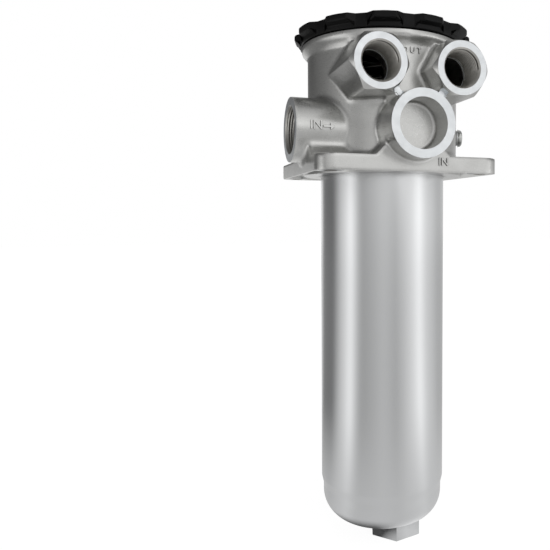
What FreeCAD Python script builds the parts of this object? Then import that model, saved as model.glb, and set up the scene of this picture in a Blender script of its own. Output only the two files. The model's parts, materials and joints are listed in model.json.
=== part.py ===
import FreeCAD, Part
import math
import os

Vector = FreeCAD.Vector

# Tank top filter: a cast head on a square flange, a drawn bowl that hangs in the tank,
# a lobed screw cover, a pleated element and an outlet valve in the bowl's floor.
# Millimetres, +Z up, origin on the bowl's axis in the plane of the flange's underside.
# Two outlet ports and one blind inlet pad face -Y, the open inlet port faces -X.

# Bowl
BOWL_RADIUS = 59.5
BOWL_WALL = 2.5
BOWL_SEAT_DEPTH = 10.0
BOWL_LEDGE_THICKNESS = 3.0
BOWL_DEPTH = 330.0
BOWL_FOOT_HEIGHT = 39.0
BOWL_STEP_LENGTH = 8.0
BOWL_STEP = 1.8
BOWL_KNUCKLE_RADIUS = 24.0
BOWL_SEAL_HEIGHT = 5.0

# Cast body of the head
BOWL_LAND_WIDTH = 12.0
BODY_WALL = 7.5
BODY_FOOT = 4.0
RIM_FLARE = 5.5
RIM_BAND_HEIGHT = 5.0
RIM_TAPER_HEIGHT = 5.5
RIM_EDGE = 0.8
RIM_WIDTH = 11.0
COVER_THREAD_DEPTH = 17.0
COVER_SEAL_INSET = 7.0
PARTITION_LEDGE = 3.0
CAST_BLEND_RADIUS = 4.0

# Mounting flange
FLANGE_SIDE_MARGIN = 12.5
FLANGE_FRONT_MARGIN = 9.5
FLANGE_THICKNESS = 14.0
FLANGE_CORNER_RADIUS = 14.0
FLANGE_EDGE_RADIUS = 0.8
FLANGE_RIM_WIDTH = 8.0
FLANGE_POCKET_DEPTH = 4.0
BOLT_EDGE_DISTANCE = 14.0
BOLT_HOLE_RADIUS = 5.5
BOLT_LAND_WIDTH = 5.5

# Outlet ports, hexagonal bosses with a turned face
OUT_PORT_SPACING = 72.6
OUT_PORT_REACH = 26.8
OUT_PORT_SILL = 2.4
OUT_PORT_LINTEL = 1.8
OUT_THREAD_RADIUS = 15.9
OUT_COUNTERSINK = 1.3
OUT_LAND_WIDTH = 5.5
OUT_BOSS_CHAMFER = 0.3
OUT_BOSS_CHAMFER_LENGTH = 5.0

# Inlet port and blind inlet pad, round bosses
IN_PORT_RISE = 5.0
IN_PORT_REACH = 23.7
IN_PORT_MARGIN = 20.2
IN_PORT_LINTEL = 1.6
IN_THREAD_RADIUS = 20.2
IN_COUNTERSINK = 1.2
IN_LAND_WIDTH = 7.4
BLIND_PAD_REACH = 29.5
BLIND_RECESS_DEPTH = 24.0
PORT_THREAD_LENGTH = 28.0
PASSAGE_STEP = 0.8
PEDESTAL_SETBACK = 2.0
PEDESTAL_FLARE = 8.0
PORT_RIB_WIDTH = 6.0
PORT_RIB_SETBACK = 6.3

# Gauge port plug on the right of the head
GAUGE_PORT_TURN = -15.0
GAUGE_PAD_HEIGHT = 1.0
GAUGE_PAD_MARGIN = 1.0
GAUGE_THREAD_RADIUS = 4.8
GAUGE_WASHER_WIDTH = 2.7
GAUGE_WASHER_THICKNESS = 1.0
PLUG_COLLAR_THICKNESS = 1.2
PLUG_HEX_ACROSS_FLATS = 14.0
PLUG_HEX_HEIGHT = 3.2

# Screw cover
COVER_LOBES = 12
COVER_LOBE_TURN = 12.0
COVER_LOBE_OVERHANG = 7.0
COVER_NOTCH_OVERHANG = 1.5
COVER_LOBE_ANGLE = 13.0
COVER_NOTCH_ANGLE = 7.0
COVER_HEIGHT = 12.0
COVER_GRIP_BAND = 5.5
COVER_NECK_MARGIN = 0.5
COVER_NECK_HEIGHT = 4.0
COVER_TOP_EDGE = 1.2
COVER_SKIRT_DEPTH = 15.0
COVER_SKIRT_WALL = 5.5
COVER_PLATE_THICKNESS = 5.0
COVER_DISH_MARGIN = 7.0
COVER_DISH_DEPTH = 3.0
COVER_HUB_RADIUS = 28.0
COVER_RIBS = 12
COVER_RIB_WIDTH = 3.0
COVER_RIB_HEIGHT = 2.0
SPRING_COLLAR_WALL = 2.0
SPRING_COLLAR_HEIGHT = 3.0

# Filter element
PLEATS = 36
PLEAT_DEPTH = 18.0
PLEAT_FOLD = 7.0
ELEMENT_TUBE_WALL = 1.5
ELEMENT_CAP_FLOOR = 5.0
ELEMENT_CAP_SKIRT = 6.0
ELEMENT_CAP_WALL = 1.2
ELEMENT_FLANGE_THICKNESS = 5.0
ELEMENT_FLANGE_OVERHANG = 4.5
ELEMENT_OUTLET_RADIUS = 20.0
TUBE_WINDOW_ROWS = 6
TUBE_WINDOW_PAIRS = 4
TUBE_WINDOW_WIDTH = 8.0
TUBE_WINDOW_BRIDGE = 14.0
HANDLE_RADIUS = 30.0
HANDLE_THICKNESS = 3.0
HANDLE_WIDTH = 10.0

# Spigot at the foot of the element and the bypass valve around it
SPIGOT_RADIUS = 17.5
SPIGOT_WALL = 3.5
SPIGOT_LENGTH = 33.0
SPIGOT_ENGAGEMENT = 10.0
GUIDE_LENGTH = 24.0
SPIGOT_SEAL_HEIGHT = 6.0
BYPASS_HOLES = 8
BYPASS_RING_WIDTH = 7.0
BYPASS_HOLE_RADIUS = 2.2
BYPASS_PLATE_THICKNESS = 2.0
BYPASS_SPRING_LENGTH = 18.0
BYPASS_STOP_THICKNESS = 2.0
BYPASS_STOP_MARGIN = 1.0
BYPASS_STOP_GROOVE = 0.8

# Outlet manifold on the bowl's floor
MANIFOLD_RADIUS = 33.0
MANIFOLD_BASE_HEIGHT = 21.0
SOCKET_WALL = 6.2
SOCKET_HEIGHT = 16.5
SOCKET_DEPTH = 20.0

# Outlet valve screwed up through the bowl's floor
OUTLET_OFFSET = 14.0
OUTLET_SEAT_RADIUS = 9.0
OUTLET_NECK_WALL = 6.0
OUTLET_NECK_LENGTH = 10.0
OUTLET_WASHER_WIDTH = 6.0
OUTLET_WASHER_THICKNESS = 2.0
OUTLET_HEX_WALL = 7.0
OUTLET_HEX_HEIGHT = 20.5
OUTLET_HEX_TURN = 22.0
OUTLET_HEX_FACE_INSET = 2.5
OUTLET_HEX_CHAMFER_LENGTH = 3.5
OUTLET_CHAMBER_RADIUS = 16.0
OUTLET_SEAT_DEPTH = 1.0
POPPET_OVERLAP = 3.5
POPPET_THICKNESS = 2.5
POPPET_NOSE_LENGTH = 4.0
POPPET_STEM_RADIUS = 3.0
POPPET_STEM_INSET = 1.0
OUTLET_SPRING_LENGTH = 12.0
OUTLET_SPRING_RADIUS = 6.2
OUTLET_SPRING_WIRE = 1.2
GUIDE_PLATE_THICKNESS = 2.0
GUIDE_PLATE_HOLES = 6
GUIDE_PLATE_HOLE_RADIUS = 2.4
RING_THICKNESS = 1.5
RING_WIDTH = 2.9
RING_GROOVE_DEPTH = 1.0
RING_GAP_WIDTH = 10.0

# Springs and seals
HOLD_SPRING_MARGIN = 4.4
HOLD_SPRING_WIRE = 3.2
HOLD_SPRING_TURNS = 4.5
BYPASS_SPRING_WIRE = 2.0
BYPASS_SPRING_TURNS = 3.5
OUTLET_SPRING_TURNS = 3.5
SEAL_SECTION = 2.6
SMALL_SEAL_SECTION = 2.3

# Clearances
SEAT_GAP = 0.2
THREAD_GAP = 0.3
FIT_GAP = 0.05
SHAFT_GAP = 0.1
RUNNING_GAP = 0.3
ELEMENT_PASS_GAP = 1.0

# How far a cutting or joining shape runs past the face that it meets
OVERRUN = 1.0

# Tolerance for finding an edge by its place or its direction
SAME_PLACE = 0.01

# Directions
UP = Vector(0, 0, 1)
FRONT = Vector(0, -1, 0)
LEFT = Vector(-1, 0, 0)

# Radii and widths worked out from the sizes above
BODY_RADIUS = BOWL_RADIUS + BOWL_LAND_WIDTH
CHAMBER_RADIUS = BODY_RADIUS - BODY_WALL
RIM_RADIUS = BODY_RADIUS + RIM_FLARE
COVER_THREAD_RADIUS = RIM_RADIUS - RIM_WIDTH
COVER_SEAL_RADIUS = RIM_RADIUS - COVER_SEAL_INSET
COVER_SKIRT_RADIUS = COVER_THREAD_RADIUS - THREAD_GAP
COVER_LOBE_RADIUS = RIM_RADIUS + COVER_LOBE_OVERHANG
COVER_NOTCH_RADIUS = RIM_RADIUS + COVER_NOTCH_OVERHANG
COVER_NECK_RADIUS = COVER_NOTCH_RADIUS + COVER_NECK_MARGIN
COVER_DISH_RADIUS = RIM_RADIUS - COVER_DISH_MARGIN
FLANGE_WIDTH = 2 * (BODY_RADIUS + FLANGE_SIDE_MARGIN)
FLANGE_DEPTH = 2 * (BODY_RADIUS + FLANGE_FRONT_MARGIN)
BOLT_SPACING_X = FLANGE_WIDTH - 2 * BOLT_EDGE_DISTANCE
BOLT_SPACING_Y = FLANGE_DEPTH - 2 * BOLT_EDGE_DISTANCE
BOLT_LAND_RADIUS = BOLT_HOLE_RADIUS + BOLT_LAND_WIDTH
OUT_MOUTH_RADIUS = OUT_THREAD_RADIUS + OUT_COUNTERSINK
OUT_BOSS_LAND_RADIUS = OUT_MOUTH_RADIUS + OUT_LAND_WIDTH
OUT_BOSS_ACROSS_FLATS = 2 * (OUT_BOSS_LAND_RADIUS + OUT_BOSS_CHAMFER)
OUT_PORT_FACE = BODY_RADIUS + OUT_PORT_REACH
PORT_RIB_FACE = OUT_PORT_FACE - PORT_RIB_SETBACK
IN_MOUTH_RADIUS = IN_THREAD_RADIUS + IN_COUNTERSINK
IN_BOSS_RADIUS = IN_MOUTH_RADIUS + IN_LAND_WIDTH
IN_PORT_FACE = BODY_RADIUS + IN_PORT_REACH
IN_PORT_OFFSET = BODY_RADIUS - IN_BOSS_RADIUS - IN_PORT_MARGIN
BLIND_PAD_FACE = BODY_RADIUS + BLIND_PAD_REACH
GAUGE_WASHER_RADIUS = GAUGE_THREAD_RADIUS + GAUGE_WASHER_WIDTH
BOWL_INNER_RADIUS = BOWL_RADIUS - BOWL_WALL
GUIDE_SPACE_RADIUS = SPIGOT_RADIUS + BYPASS_RING_WIDTH
ELEMENT_TUBE_RADIUS = GUIDE_SPACE_RADIUS + ELEMENT_TUBE_WALL
BYPASS_STOP_RADIUS = GUIDE_SPACE_RADIUS - BYPASS_STOP_MARGIN
PLEAT_OUTER_RADIUS = ELEMENT_TUBE_RADIUS + PLEAT_DEPTH
CAP_SKIRT_RADIUS = PLEAT_OUTER_RADIUS + RUNNING_GAP + ELEMENT_CAP_WALL
LEDGE_RADIUS = CAP_SKIRT_RADIUS + ELEMENT_PASS_GAP
PARTITION_BORE_RADIUS = LEDGE_RADIUS + ELEMENT_FLANGE_OVERHANG
HOLD_SPRING_RADIUS = HANDLE_RADIUS + HOLD_SPRING_MARGIN + HOLD_SPRING_WIRE / 2
SOCKET_RADIUS = SPIGOT_RADIUS + RUNNING_GAP + SOCKET_WALL
OUTLET_NECK_RADIUS = OUTLET_SEAT_RADIUS + OUTLET_NECK_WALL
OUTLET_WASHER_RADIUS = OUTLET_NECK_RADIUS + OUTLET_WASHER_WIDTH
OUTLET_HEX_ACROSS_FLATS = 2 * (OUTLET_CHAMBER_RADIUS + OUTLET_HEX_WALL)
OUTLET_HEX_FACE_RADIUS = OUTLET_HEX_ACROSS_FLATS / 2 - OUTLET_HEX_FACE_INSET
POPPET_RADIUS = OUTLET_SEAT_RADIUS + POPPET_OVERLAP

# Levels worked out from the sizes above, upwards through the head and downwards through the bowl
BOWL_LEDGE_TOP = BOWL_SEAT_DEPTH + BOWL_LEDGE_THICKNESS
IN_PORT_HEIGHT = BOWL_LEDGE_TOP + IN_PORT_RISE + IN_THREAD_RADIUS
ELEMENT_SEAT = IN_PORT_HEIGHT + IN_THREAD_RADIUS + IN_PORT_LINTEL + PARTITION_LEDGE
PARTITION_TOP = ELEMENT_SEAT + ELEMENT_FLANGE_THICKNESS
OUT_PORT_HEIGHT = PARTITION_TOP + OUT_PORT_SILL + OUT_THREAD_RADIUS
HEAD_HEIGHT = OUT_PORT_HEIGHT + OUT_THREAD_RADIUS + OUT_PORT_LINTEL + COVER_THREAD_DEPTH
COVER_SEAT = HEAD_HEIGHT + SEAT_GAP
COVER_TOP = COVER_SEAT + COVER_HEIGHT
COVER_PLATE_TOP = COVER_TOP - COVER_DISH_DEPTH
COVER_PLATE_BOTTOM = COVER_PLATE_TOP - COVER_PLATE_THICKNESS
BOWL_FLOOR = -BOWL_DEPTH + BOWL_WALL
MANIFOLD_BASE_TOP = BOWL_FLOOR + MANIFOLD_BASE_HEIGHT
SOCKET_TOP = MANIFOLD_BASE_TOP + SOCKET_HEIGHT
SOCKET_FLOOR = SOCKET_TOP - SOCKET_DEPTH
SPIGOT_END = SOCKET_TOP - SPIGOT_ENGAGEMENT
PACK_TOP = ELEMENT_SEAT - ELEMENT_CAP_FLOOR
PACK_BOTTOM = SPIGOT_END + SPIGOT_LENGTH + ELEMENT_CAP_FLOOR
BYPASS_SPRING_SEAT = PACK_BOTTOM + BYPASS_PLATE_THICKNESS
BYPASS_STOP_BOTTOM = BYPASS_SPRING_SEAT + BYPASS_SPRING_LENGTH
OUTLET_CENTRE = Vector(OUTLET_OFFSET, 0, 0)
OUTLET_HEX_TOP = -BOWL_DEPTH - OUTLET_WASHER_THICKNESS
OUTLET_FACE = OUTLET_HEX_TOP - OUTLET_HEX_HEIGHT
OUTLET_NECK_TOP = BOWL_FLOOR + OUTLET_NECK_LENGTH
VALVE_SEAT = OUTLET_HEX_TOP - OUTLET_SEAT_DEPTH
POPPET_BACK = VALVE_SEAT - POPPET_THICKNESS
GUIDE_PLATE_TOP = POPPET_BACK - OUTLET_SPRING_LENGTH
GUIDE_PLATE_BOTTOM = GUIDE_PLATE_TOP - GUIDE_PLATE_THICKNESS


# Shared shapes

def turned(profile, centre=Vector(0, 0, 0)):
    """A solid turned about a vertical axis from a closed list of (radius, height) corners."""
    corners = [Vector(radius, 0, height) for radius, height in profile]
    face = Part.Face(Part.makePolygon(corners + corners[:1]))
    solid = face.revolve(Vector(0, 0, 0), UP, 360)
    solid.translate(centre)
    return solid


def upright(radius, bottom, top, centre=Vector(0, 0, 0)):
    """A vertical cylinder between two heights."""
    return Part.makeCylinder(radius, top - bottom, centre + Vector(0, 0, bottom), UP)


def ring(outer, inner, bottom, top, centre=Vector(0, 0, 0)):
    """A flat vertical ring between two heights."""
    return turned([(inner, bottom), (outer, bottom), (outer, top), (inner, top)], centre)


def round_seal(centre_radius, section, height):
    """A round-section seal ring about the bowl's axis."""
    return Part.makeTorus(centre_radius, section / 2, Vector(0, 0, height), UP)


def hexagon(across_flats, first_corner, axis, start, length):
    """A hexagonal prism from start along axis, with one corner towards first_corner."""
    corner_radius = across_flats / math.sqrt(3)
    turn = FreeCAD.Rotation(axis, 60)
    arm = Vector(first_corner).normalize() * corner_radius
    corners = []
    for _ in range(6):
        corners.append(start + arm)
        arm = turn.multVec(arm)
    face = Part.Face(Part.makePolygon(corners + corners[:1]))
    return face.extrude(axis * length)


def rounded_plate(width, depth, corner_radius, bottom, top):
    """A flat plate centred on the axis, with rounded upright corners."""
    box = Part.makeBox(width, depth, top - bottom, Vector(-width / 2, -depth / 2, bottom))
    uprights = [edge for edge in box.Edges if abs(edge.tangentAt(0).z) > 1 - SAME_PLACE]
    return box.makeFillet(corner_radius, uprights)


def around(count, radius, first=0.0):
    """Points evenly spaced on a circle about the axis."""
    angles = [math.radians(first + 360.0 * index / count) for index in range(count)]
    return [Vector(radius * math.cos(angle), radius * math.sin(angle), 0) for angle in angles]


def coil_spring(mean_radius, wire, bottom, length, turns, centre=Vector(0, 0, 0)):
    """A compression spring of square wire with both ends ground flat."""
    pitch = length / turns
    helix = Part.makeHelix(pitch, length + 2 * wire, mean_radius)
    half = wire / 2
    square = [(-half, -half), (half, -half), (half, half), (-half, half)]
    corners = [Vector(mean_radius + x, 0, z) for x, z in square]
    section = Part.makePolygon(corners + corners[:1])
    coil = Part.Wire(helix.Edges).makePipeShell([section], True, True)
    coil.translate(Vector(0, 0, -wire))
    slab = upright(mean_radius + 2 * wire, 0, length)
    spring = coil.common(slab)
    spring.translate(centre + Vector(0, 0, bottom))
    return spring


# Cast head

def bolt_places():
    """Centres of the four flange bolts."""
    half_x = BOLT_SPACING_X / 2
    half_y = BOLT_SPACING_Y / 2
    return [Vector(x, y, 0) for x in (-half_x, half_x) for y in (-half_y, half_y)]


def flange_plate():
    """The square plate with its softened edges, before its holes."""
    plate = rounded_plate(FLANGE_WIDTH, FLANGE_DEPTH, FLANGE_CORNER_RADIUS, 0, FLANGE_THICKNESS)
    level = [edge for edge in plate.Edges if abs(edge.tangentAt(edge.FirstParameter).z) < SAME_PLACE]
    return plate.makeFillet(FLANGE_EDGE_RADIUS, level)


def flange_pocket():
    """The cast hollow in the underside, outside the bowl land and the bolt lands."""
    width = FLANGE_WIDTH - 2 * FLANGE_RIM_WIDTH
    depth = FLANGE_DEPTH - 2 * FLANGE_RIM_WIDTH
    corner = FLANGE_CORNER_RADIUS - FLANGE_RIM_WIDTH
    pocket = rounded_plate(width, depth, corner, -OVERRUN, FLANGE_POCKET_DEPTH)
    lands = [upright(BODY_RADIUS, -2 * OVERRUN, FLANGE_THICKNESS)]
    lands += [upright(BOLT_LAND_RADIUS, -2 * OVERRUN, FLANGE_THICKNESS, place) for place in bolt_places()]
    return pocket.cut(lands)


def body_outside():
    """The round body with its sloped foot on the flange and the flared rim under the cover."""
    band_bottom = HEAD_HEIGHT - RIM_BAND_HEIGHT
    taper_bottom = band_bottom - RIM_TAPER_HEIGHT
    return turned([
        (0, OVERRUN), (BODY_RADIUS + BODY_FOOT, OVERRUN), (BODY_RADIUS + BODY_FOOT, FLANGE_THICKNESS),
        (BODY_RADIUS, FLANGE_THICKNESS + BODY_FOOT), (BODY_RADIUS, taper_bottom), (RIM_RADIUS, band_bottom),
        (RIM_RADIUS, HEAD_HEIGHT - RIM_EDGE), (RIM_RADIUS - RIM_EDGE, HEAD_HEIGHT), (0, HEAD_HEIGHT)])


def body_inside():
    """The bored chambers, the partition that seats the element and the bowl's bore."""
    bowl_bore = BOWL_RADIUS + FIT_GAP
    seat_bottom = ELEMENT_SEAT - PARTITION_LEDGE
    thread_bottom = HEAD_HEIGHT - COVER_THREAD_DEPTH
    return turned([
        (0, -OVERRUN), (bowl_bore, -OVERRUN), (bowl_bore, BOWL_SEAT_DEPTH),
        (BOWL_INNER_RADIUS, BOWL_SEAT_DEPTH), (BOWL_INNER_RADIUS, BOWL_LEDGE_TOP),
        (CHAMBER_RADIUS, BOWL_LEDGE_TOP), (CHAMBER_RADIUS, seat_bottom),
        (LEDGE_RADIUS, seat_bottom), (LEDGE_RADIUS, ELEMENT_SEAT),
        (PARTITION_BORE_RADIUS, ELEMENT_SEAT), (PARTITION_BORE_RADIUS, PARTITION_TOP),
        (CHAMBER_RADIUS, PARTITION_TOP), (CHAMBER_RADIUS, thread_bottom),
        (COVER_THREAD_RADIUS, thread_bottom), (COVER_THREAD_RADIUS, HEAD_HEIGHT + OVERRUN),
        (0, HEAD_HEIGHT + OVERRUN)])


def out_port_centres():
    """Centres of the two outlet faces."""
    half = OUT_PORT_SPACING / 2
    return [Vector(x, -OUT_PORT_FACE, OUT_PORT_HEIGHT) for x in (-half, half)]


def out_boss(centre):
    """A hexagonal boss that runs in to the bowl's axis, its corners turned away at a round face."""
    prism = hexagon(OUT_BOSS_ACROSS_FLATS, Vector(1, 0, 0), -FRONT, centre, OUT_PORT_FACE)
    corner_radius = OUT_BOSS_ACROSS_FLATS / math.sqrt(3)
    slope = (corner_radius - OUT_BOSS_LAND_RADIUS) / OUT_BOSS_CHAMFER_LENGTH
    far_radius = OUT_BOSS_LAND_RADIUS + slope * OUT_PORT_FACE
    cone = Part.makeCone(OUT_BOSS_LAND_RADIUS, far_radius, OUT_PORT_FACE, centre, -FRONT)
    return prism.common(cone)


def port_bore(mouth, inward, mouth_radius, thread_radius, depth):
    """A tapped port with a countersunk mouth and a slightly narrower passage behind it."""
    sink = mouth_radius - thread_radius
    countersink = Part.makeCone(mouth_radius, thread_radius, sink, mouth, inward)
    thread = Part.makeCylinder(thread_radius, PORT_THREAD_LENGTH, mouth, inward)
    passage = Part.makeCylinder(thread_radius - PASSAGE_STEP, depth, mouth, inward)
    return countersink.fuse([thread, passage])


def blended(head, bosses):
    """The head with a cast fillet along each seam between its body and its round bosses."""
    walls = [face for boss in bosses for face in boss.Faces if face.Surface.TypeId == "Part::GeomCylinder"]
    seams = []
    for edge in head.Edges:
        middle = edge.valueAt((edge.FirstParameter + edge.LastParameter) / 2)
        on_body = abs(math.hypot(middle.x, middle.y) - BODY_RADIUS) < SAME_PLACE
        point = Part.Vertex(middle)
        if on_body and any(wall.distToShape(point)[0] < SAME_PLACE for wall in walls):
            seams.append(edge)
    return head.makeFillet(CAST_BLEND_RADIUS, seams)


def pedestal(front):
    """A web from the flange up to a round boss, flared at its foot; it faces -Y at front."""
    half_width = IN_BOSS_RADIUS - PEDESTAL_SETBACK
    top = IN_PORT_HEIGHT
    foot = FLANGE_THICKNESS
    sag = PEDESTAL_FLARE * (1 - math.sqrt(0.5))
    wide = half_width + PEDESTAL_FLARE
    right_foot = Vector(wide, -front, foot)
    right_top = Vector(half_width, -front, foot + PEDESTAL_FLARE)
    right_middle = Vector(half_width + sag, -front, foot + sag)
    left_foot = Vector(-wide, -front, foot)
    left_top = Vector(-half_width, -front, foot + PEDESTAL_FLARE)
    left_middle = Vector(-half_width - sag, -front, foot + sag)
    crown = [right_top, Vector(half_width, -front, top), Vector(-half_width, -front, top), left_top]
    under = foot - OVERRUN
    base = [left_foot, Vector(-wide, -front, under), Vector(wide, -front, under), right_foot]
    edges = [Part.Arc(right_foot, right_middle, right_top).toShape()]
    edges += Part.makePolygon(crown).Edges
    edges += [Part.Arc(left_top, left_middle, left_foot).toShape()]
    edges += Part.makePolygon(base).Edges
    return Part.Face(Part.Wire(edges)).extrude(-FRONT * front)


def port_rib(out_centre):
    """A thin web that ties an outlet boss to the blind inlet pad."""
    blind_centre = Vector(0, 0, IN_PORT_HEIGHT)
    start = Vector(out_centre.x, 0, out_centre.z)
    along = (blind_centre - start).normalize()
    across = Vector(along.z, 0, -along.x) * (PORT_RIB_WIDTH / 2)
    shift = FRONT * PORT_RIB_FACE
    corners = [start + across, blind_centre + across, blind_centre - across, start - across]
    corners = [corner + shift for corner in corners]
    face = Part.Face(Part.makePolygon(corners + corners[:1]))
    return face.extrude(-FRONT * PORT_RIB_FACE)


def gauge_direction():
    """The level direction in which the gauge port faces."""
    angle = math.radians(GAUGE_PORT_TURN)
    return Vector(math.cos(angle), math.sin(angle), 0)


def gauge_point(radius):
    """A point on the gauge port's axis at a distance from the bowl's axis."""
    return gauge_direction() * radius + Vector(0, 0, IN_PORT_HEIGHT)


def filter_head():
    """The one-piece cast and machined head; bosses and webs run in to the axis before it is bored."""
    left_centre = Vector(-IN_PORT_FACE, -IN_PORT_OFFSET, IN_PORT_HEIGHT)
    blind_centre = Vector(0, -BLIND_PAD_FACE, IN_PORT_HEIGHT)
    inlet_boss = Part.makeCylinder(IN_BOSS_RADIUS, IN_PORT_FACE, left_centre, -LEFT)
    blind_boss = Part.makeCylinder(IN_BOSS_RADIUS, BLIND_PAD_FACE, blind_centre, -FRONT)
    front_web = pedestal(FLANGE_DEPTH / 2)
    side_web = pedestal(FLANGE_WIDTH / 2)
    side_web.rotate(Vector(0, 0, 0), UP, -90)
    side_web.translate(FRONT * IN_PORT_OFFSET)
    ribs = [port_rib(centre) for centre in out_port_centres()]
    pad_face = BODY_RADIUS + GAUGE_PAD_HEIGHT
    pad_radius = GAUGE_WASHER_RADIUS + GAUGE_PAD_MARGIN
    pad = Part.makeCylinder(pad_radius, pad_face, gauge_point(0), gauge_direction())
    out_bosses = [out_boss(centre) for centre in out_port_centres()]
    added = [flange_plate(), front_web, side_web, pad, inlet_boss, blind_boss]
    head = body_outside().fuse(added + out_bosses + ribs).removeSplitter()
    head = blended(head, [inlet_boss, blind_boss])

    cuts = [body_inside(), flange_pocket()]
    for place in bolt_places():
        cuts.append(upright(BOLT_HOLE_RADIUS, -OVERRUN, FLANGE_THICKNESS + OVERRUN, place))
    for centre in out_port_centres():
        cuts.append(port_bore(centre, -FRONT, OUT_MOUTH_RADIUS, OUT_THREAD_RADIUS, OUT_PORT_FACE))
    cuts.append(port_bore(left_centre, -LEFT, IN_MOUTH_RADIUS, IN_THREAD_RADIUS, IN_PORT_FACE))
    cuts.append(Part.makeCylinder(IN_MOUTH_RADIUS, BLIND_RECESS_DEPTH, blind_centre, -FRONT))
    cuts.append(Part.makeCylinder(GAUGE_THREAD_RADIUS, pad_face, gauge_point(0), gauge_direction()))
    groove = SEAL_SECTION + FIT_GAP
    cuts.append(ring(BOWL_RADIUS + groove, BOWL_RADIUS - OVERRUN, BOWL_SEAL_HEIGHT - groove / 2,
                     BOWL_SEAL_HEIGHT + groove / 2))
    half_groove = groove / 2 + FIT_GAP
    cuts.append(ring(COVER_SEAL_RADIUS + half_groove, COVER_SEAL_RADIUS - half_groove,
                     HEAD_HEIGHT - groove, HEAD_HEIGHT + OVERRUN))
    return head.cut(cuts).removeSplitter()


# Cover and its parts

def lobed_outline(height):
    """The grip outline: flat lobes, sloping flanks and flat notches."""
    pitch = 360.0 / COVER_LOBES
    corners = []
    for index in range(COVER_LOBES):
        middle = COVER_LOBE_TURN + pitch * index
        steps = [(-COVER_LOBE_ANGLE / 2, COVER_LOBE_RADIUS), (COVER_LOBE_ANGLE / 2, COVER_LOBE_RADIUS),
                 (pitch / 2 - COVER_NOTCH_ANGLE / 2, COVER_NOTCH_RADIUS),
                 (pitch / 2 + COVER_NOTCH_ANGLE / 2, COVER_NOTCH_RADIUS)]
        for turn, radius in steps:
            angle = math.radians(middle + turn)
            corners.append(Vector(radius * math.cos(angle), radius * math.sin(angle), height))
    return Part.makePolygon(corners + corners[:1])


def cover():
    """The moulded screw cover with its lobed grip, threaded skirt and ribbed top."""
    grip = Part.Face(lobed_outline(COVER_SEAT)).extrude(UP * COVER_HEIGHT)
    band_bottom = COVER_TOP - COVER_GRIP_BAND
    envelope = turned([
        (0, COVER_SEAT), (COVER_NECK_RADIUS, COVER_SEAT), (COVER_NECK_RADIUS, COVER_SEAT + COVER_NECK_HEIGHT),
        (COVER_LOBE_RADIUS, band_bottom), (COVER_LOBE_RADIUS, COVER_TOP - COVER_TOP_EDGE),
        (COVER_LOBE_RADIUS - COVER_TOP_EDGE, COVER_TOP), (0, COVER_TOP)])
    skirt_bottom = COVER_SEAT - COVER_SKIRT_DEPTH
    skirt = upright(COVER_SKIRT_RADIUS, skirt_bottom, COVER_SEAT)
    shell = grip.common(envelope).fuse(skirt)
    hollow = upright(COVER_SKIRT_RADIUS - COVER_SKIRT_WALL, skirt_bottom - OVERRUN, COVER_PLATE_BOTTOM)
    dish = upright(COVER_DISH_RADIUS, COVER_PLATE_TOP, COVER_TOP + OVERRUN)
    shell = shell.cut([hollow, dish])
    rib_top = COVER_PLATE_TOP + COVER_RIB_HEIGHT
    hub = upright(COVER_HUB_RADIUS, COVER_PLATE_TOP - OVERRUN, rib_top)
    collar_inner = HOLD_SPRING_RADIUS + HOLD_SPRING_WIRE / 2 + RUNNING_GAP
    collar = ring(collar_inner + SPRING_COLLAR_WALL, collar_inner,
                  COVER_PLATE_BOTTOM - SPRING_COLLAR_HEIGHT, COVER_PLATE_BOTTOM + OVERRUN)
    ribs = []
    rib_length = COVER_DISH_RADIUS - COVER_HUB_RADIUS + 2 * OVERRUN
    rib_corner = Vector(COVER_HUB_RADIUS - OVERRUN, -COVER_RIB_WIDTH / 2, COVER_PLATE_TOP - OVERRUN)
    for index in range(COVER_RIBS):
        rib = Part.makeBox(rib_length, COVER_RIB_WIDTH, COVER_RIB_HEIGHT + OVERRUN, rib_corner)
        rib.rotate(Vector(0, 0, 0), UP, COVER_LOBE_TURN + 360.0 * index / COVER_RIBS)
        ribs.append(rib)
    return shell.fuse([hub, collar] + ribs).removeSplitter()


def cover_seal():
    """The round seal in the face of the rim."""
    return round_seal(COVER_SEAL_RADIUS, SEAL_SECTION, HEAD_HEIGHT - SEAL_SECTION / 2)


def hold_down_spring():
    """The coil spring between the cover and the element."""
    return coil_spring(HOLD_SPRING_RADIUS, HOLD_SPRING_WIRE, PARTITION_TOP,
                       COVER_PLATE_BOTTOM - PARTITION_TOP, HOLD_SPRING_TURNS)


def gauge_plug():
    """The hexagon plug of the gauge port, with its collar and stem."""
    collar_base = BODY_RADIUS + GAUGE_PAD_HEIGHT + GAUGE_WASHER_THICKNESS
    hex_base = collar_base + PLUG_COLLAR_THICKNESS
    direction = gauge_direction()
    stem = Part.makeCylinder(GAUGE_THREAD_RADIUS - FIT_GAP, collar_base - CHAMBER_RADIUS,
                             gauge_point(CHAMBER_RADIUS), direction)
    collar = Part.makeCylinder(PLUG_HEX_ACROSS_FLATS / 2, PLUG_COLLAR_THICKNESS,
                               gauge_point(collar_base), direction)
    head = hexagon(PLUG_HEX_ACROSS_FLATS, UP, direction, gauge_point(hex_base), PLUG_HEX_HEIGHT)
    face_radius = PLUG_HEX_ACROSS_FLATS / 2 - FIT_GAP
    cone = Part.makeCone(face_radius + PLUG_HEX_HEIGHT, face_radius, PLUG_HEX_HEIGHT,
                         gauge_point(hex_base), direction)
    return stem.fuse([collar, head.common(cone)]).removeSplitter()


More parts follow.
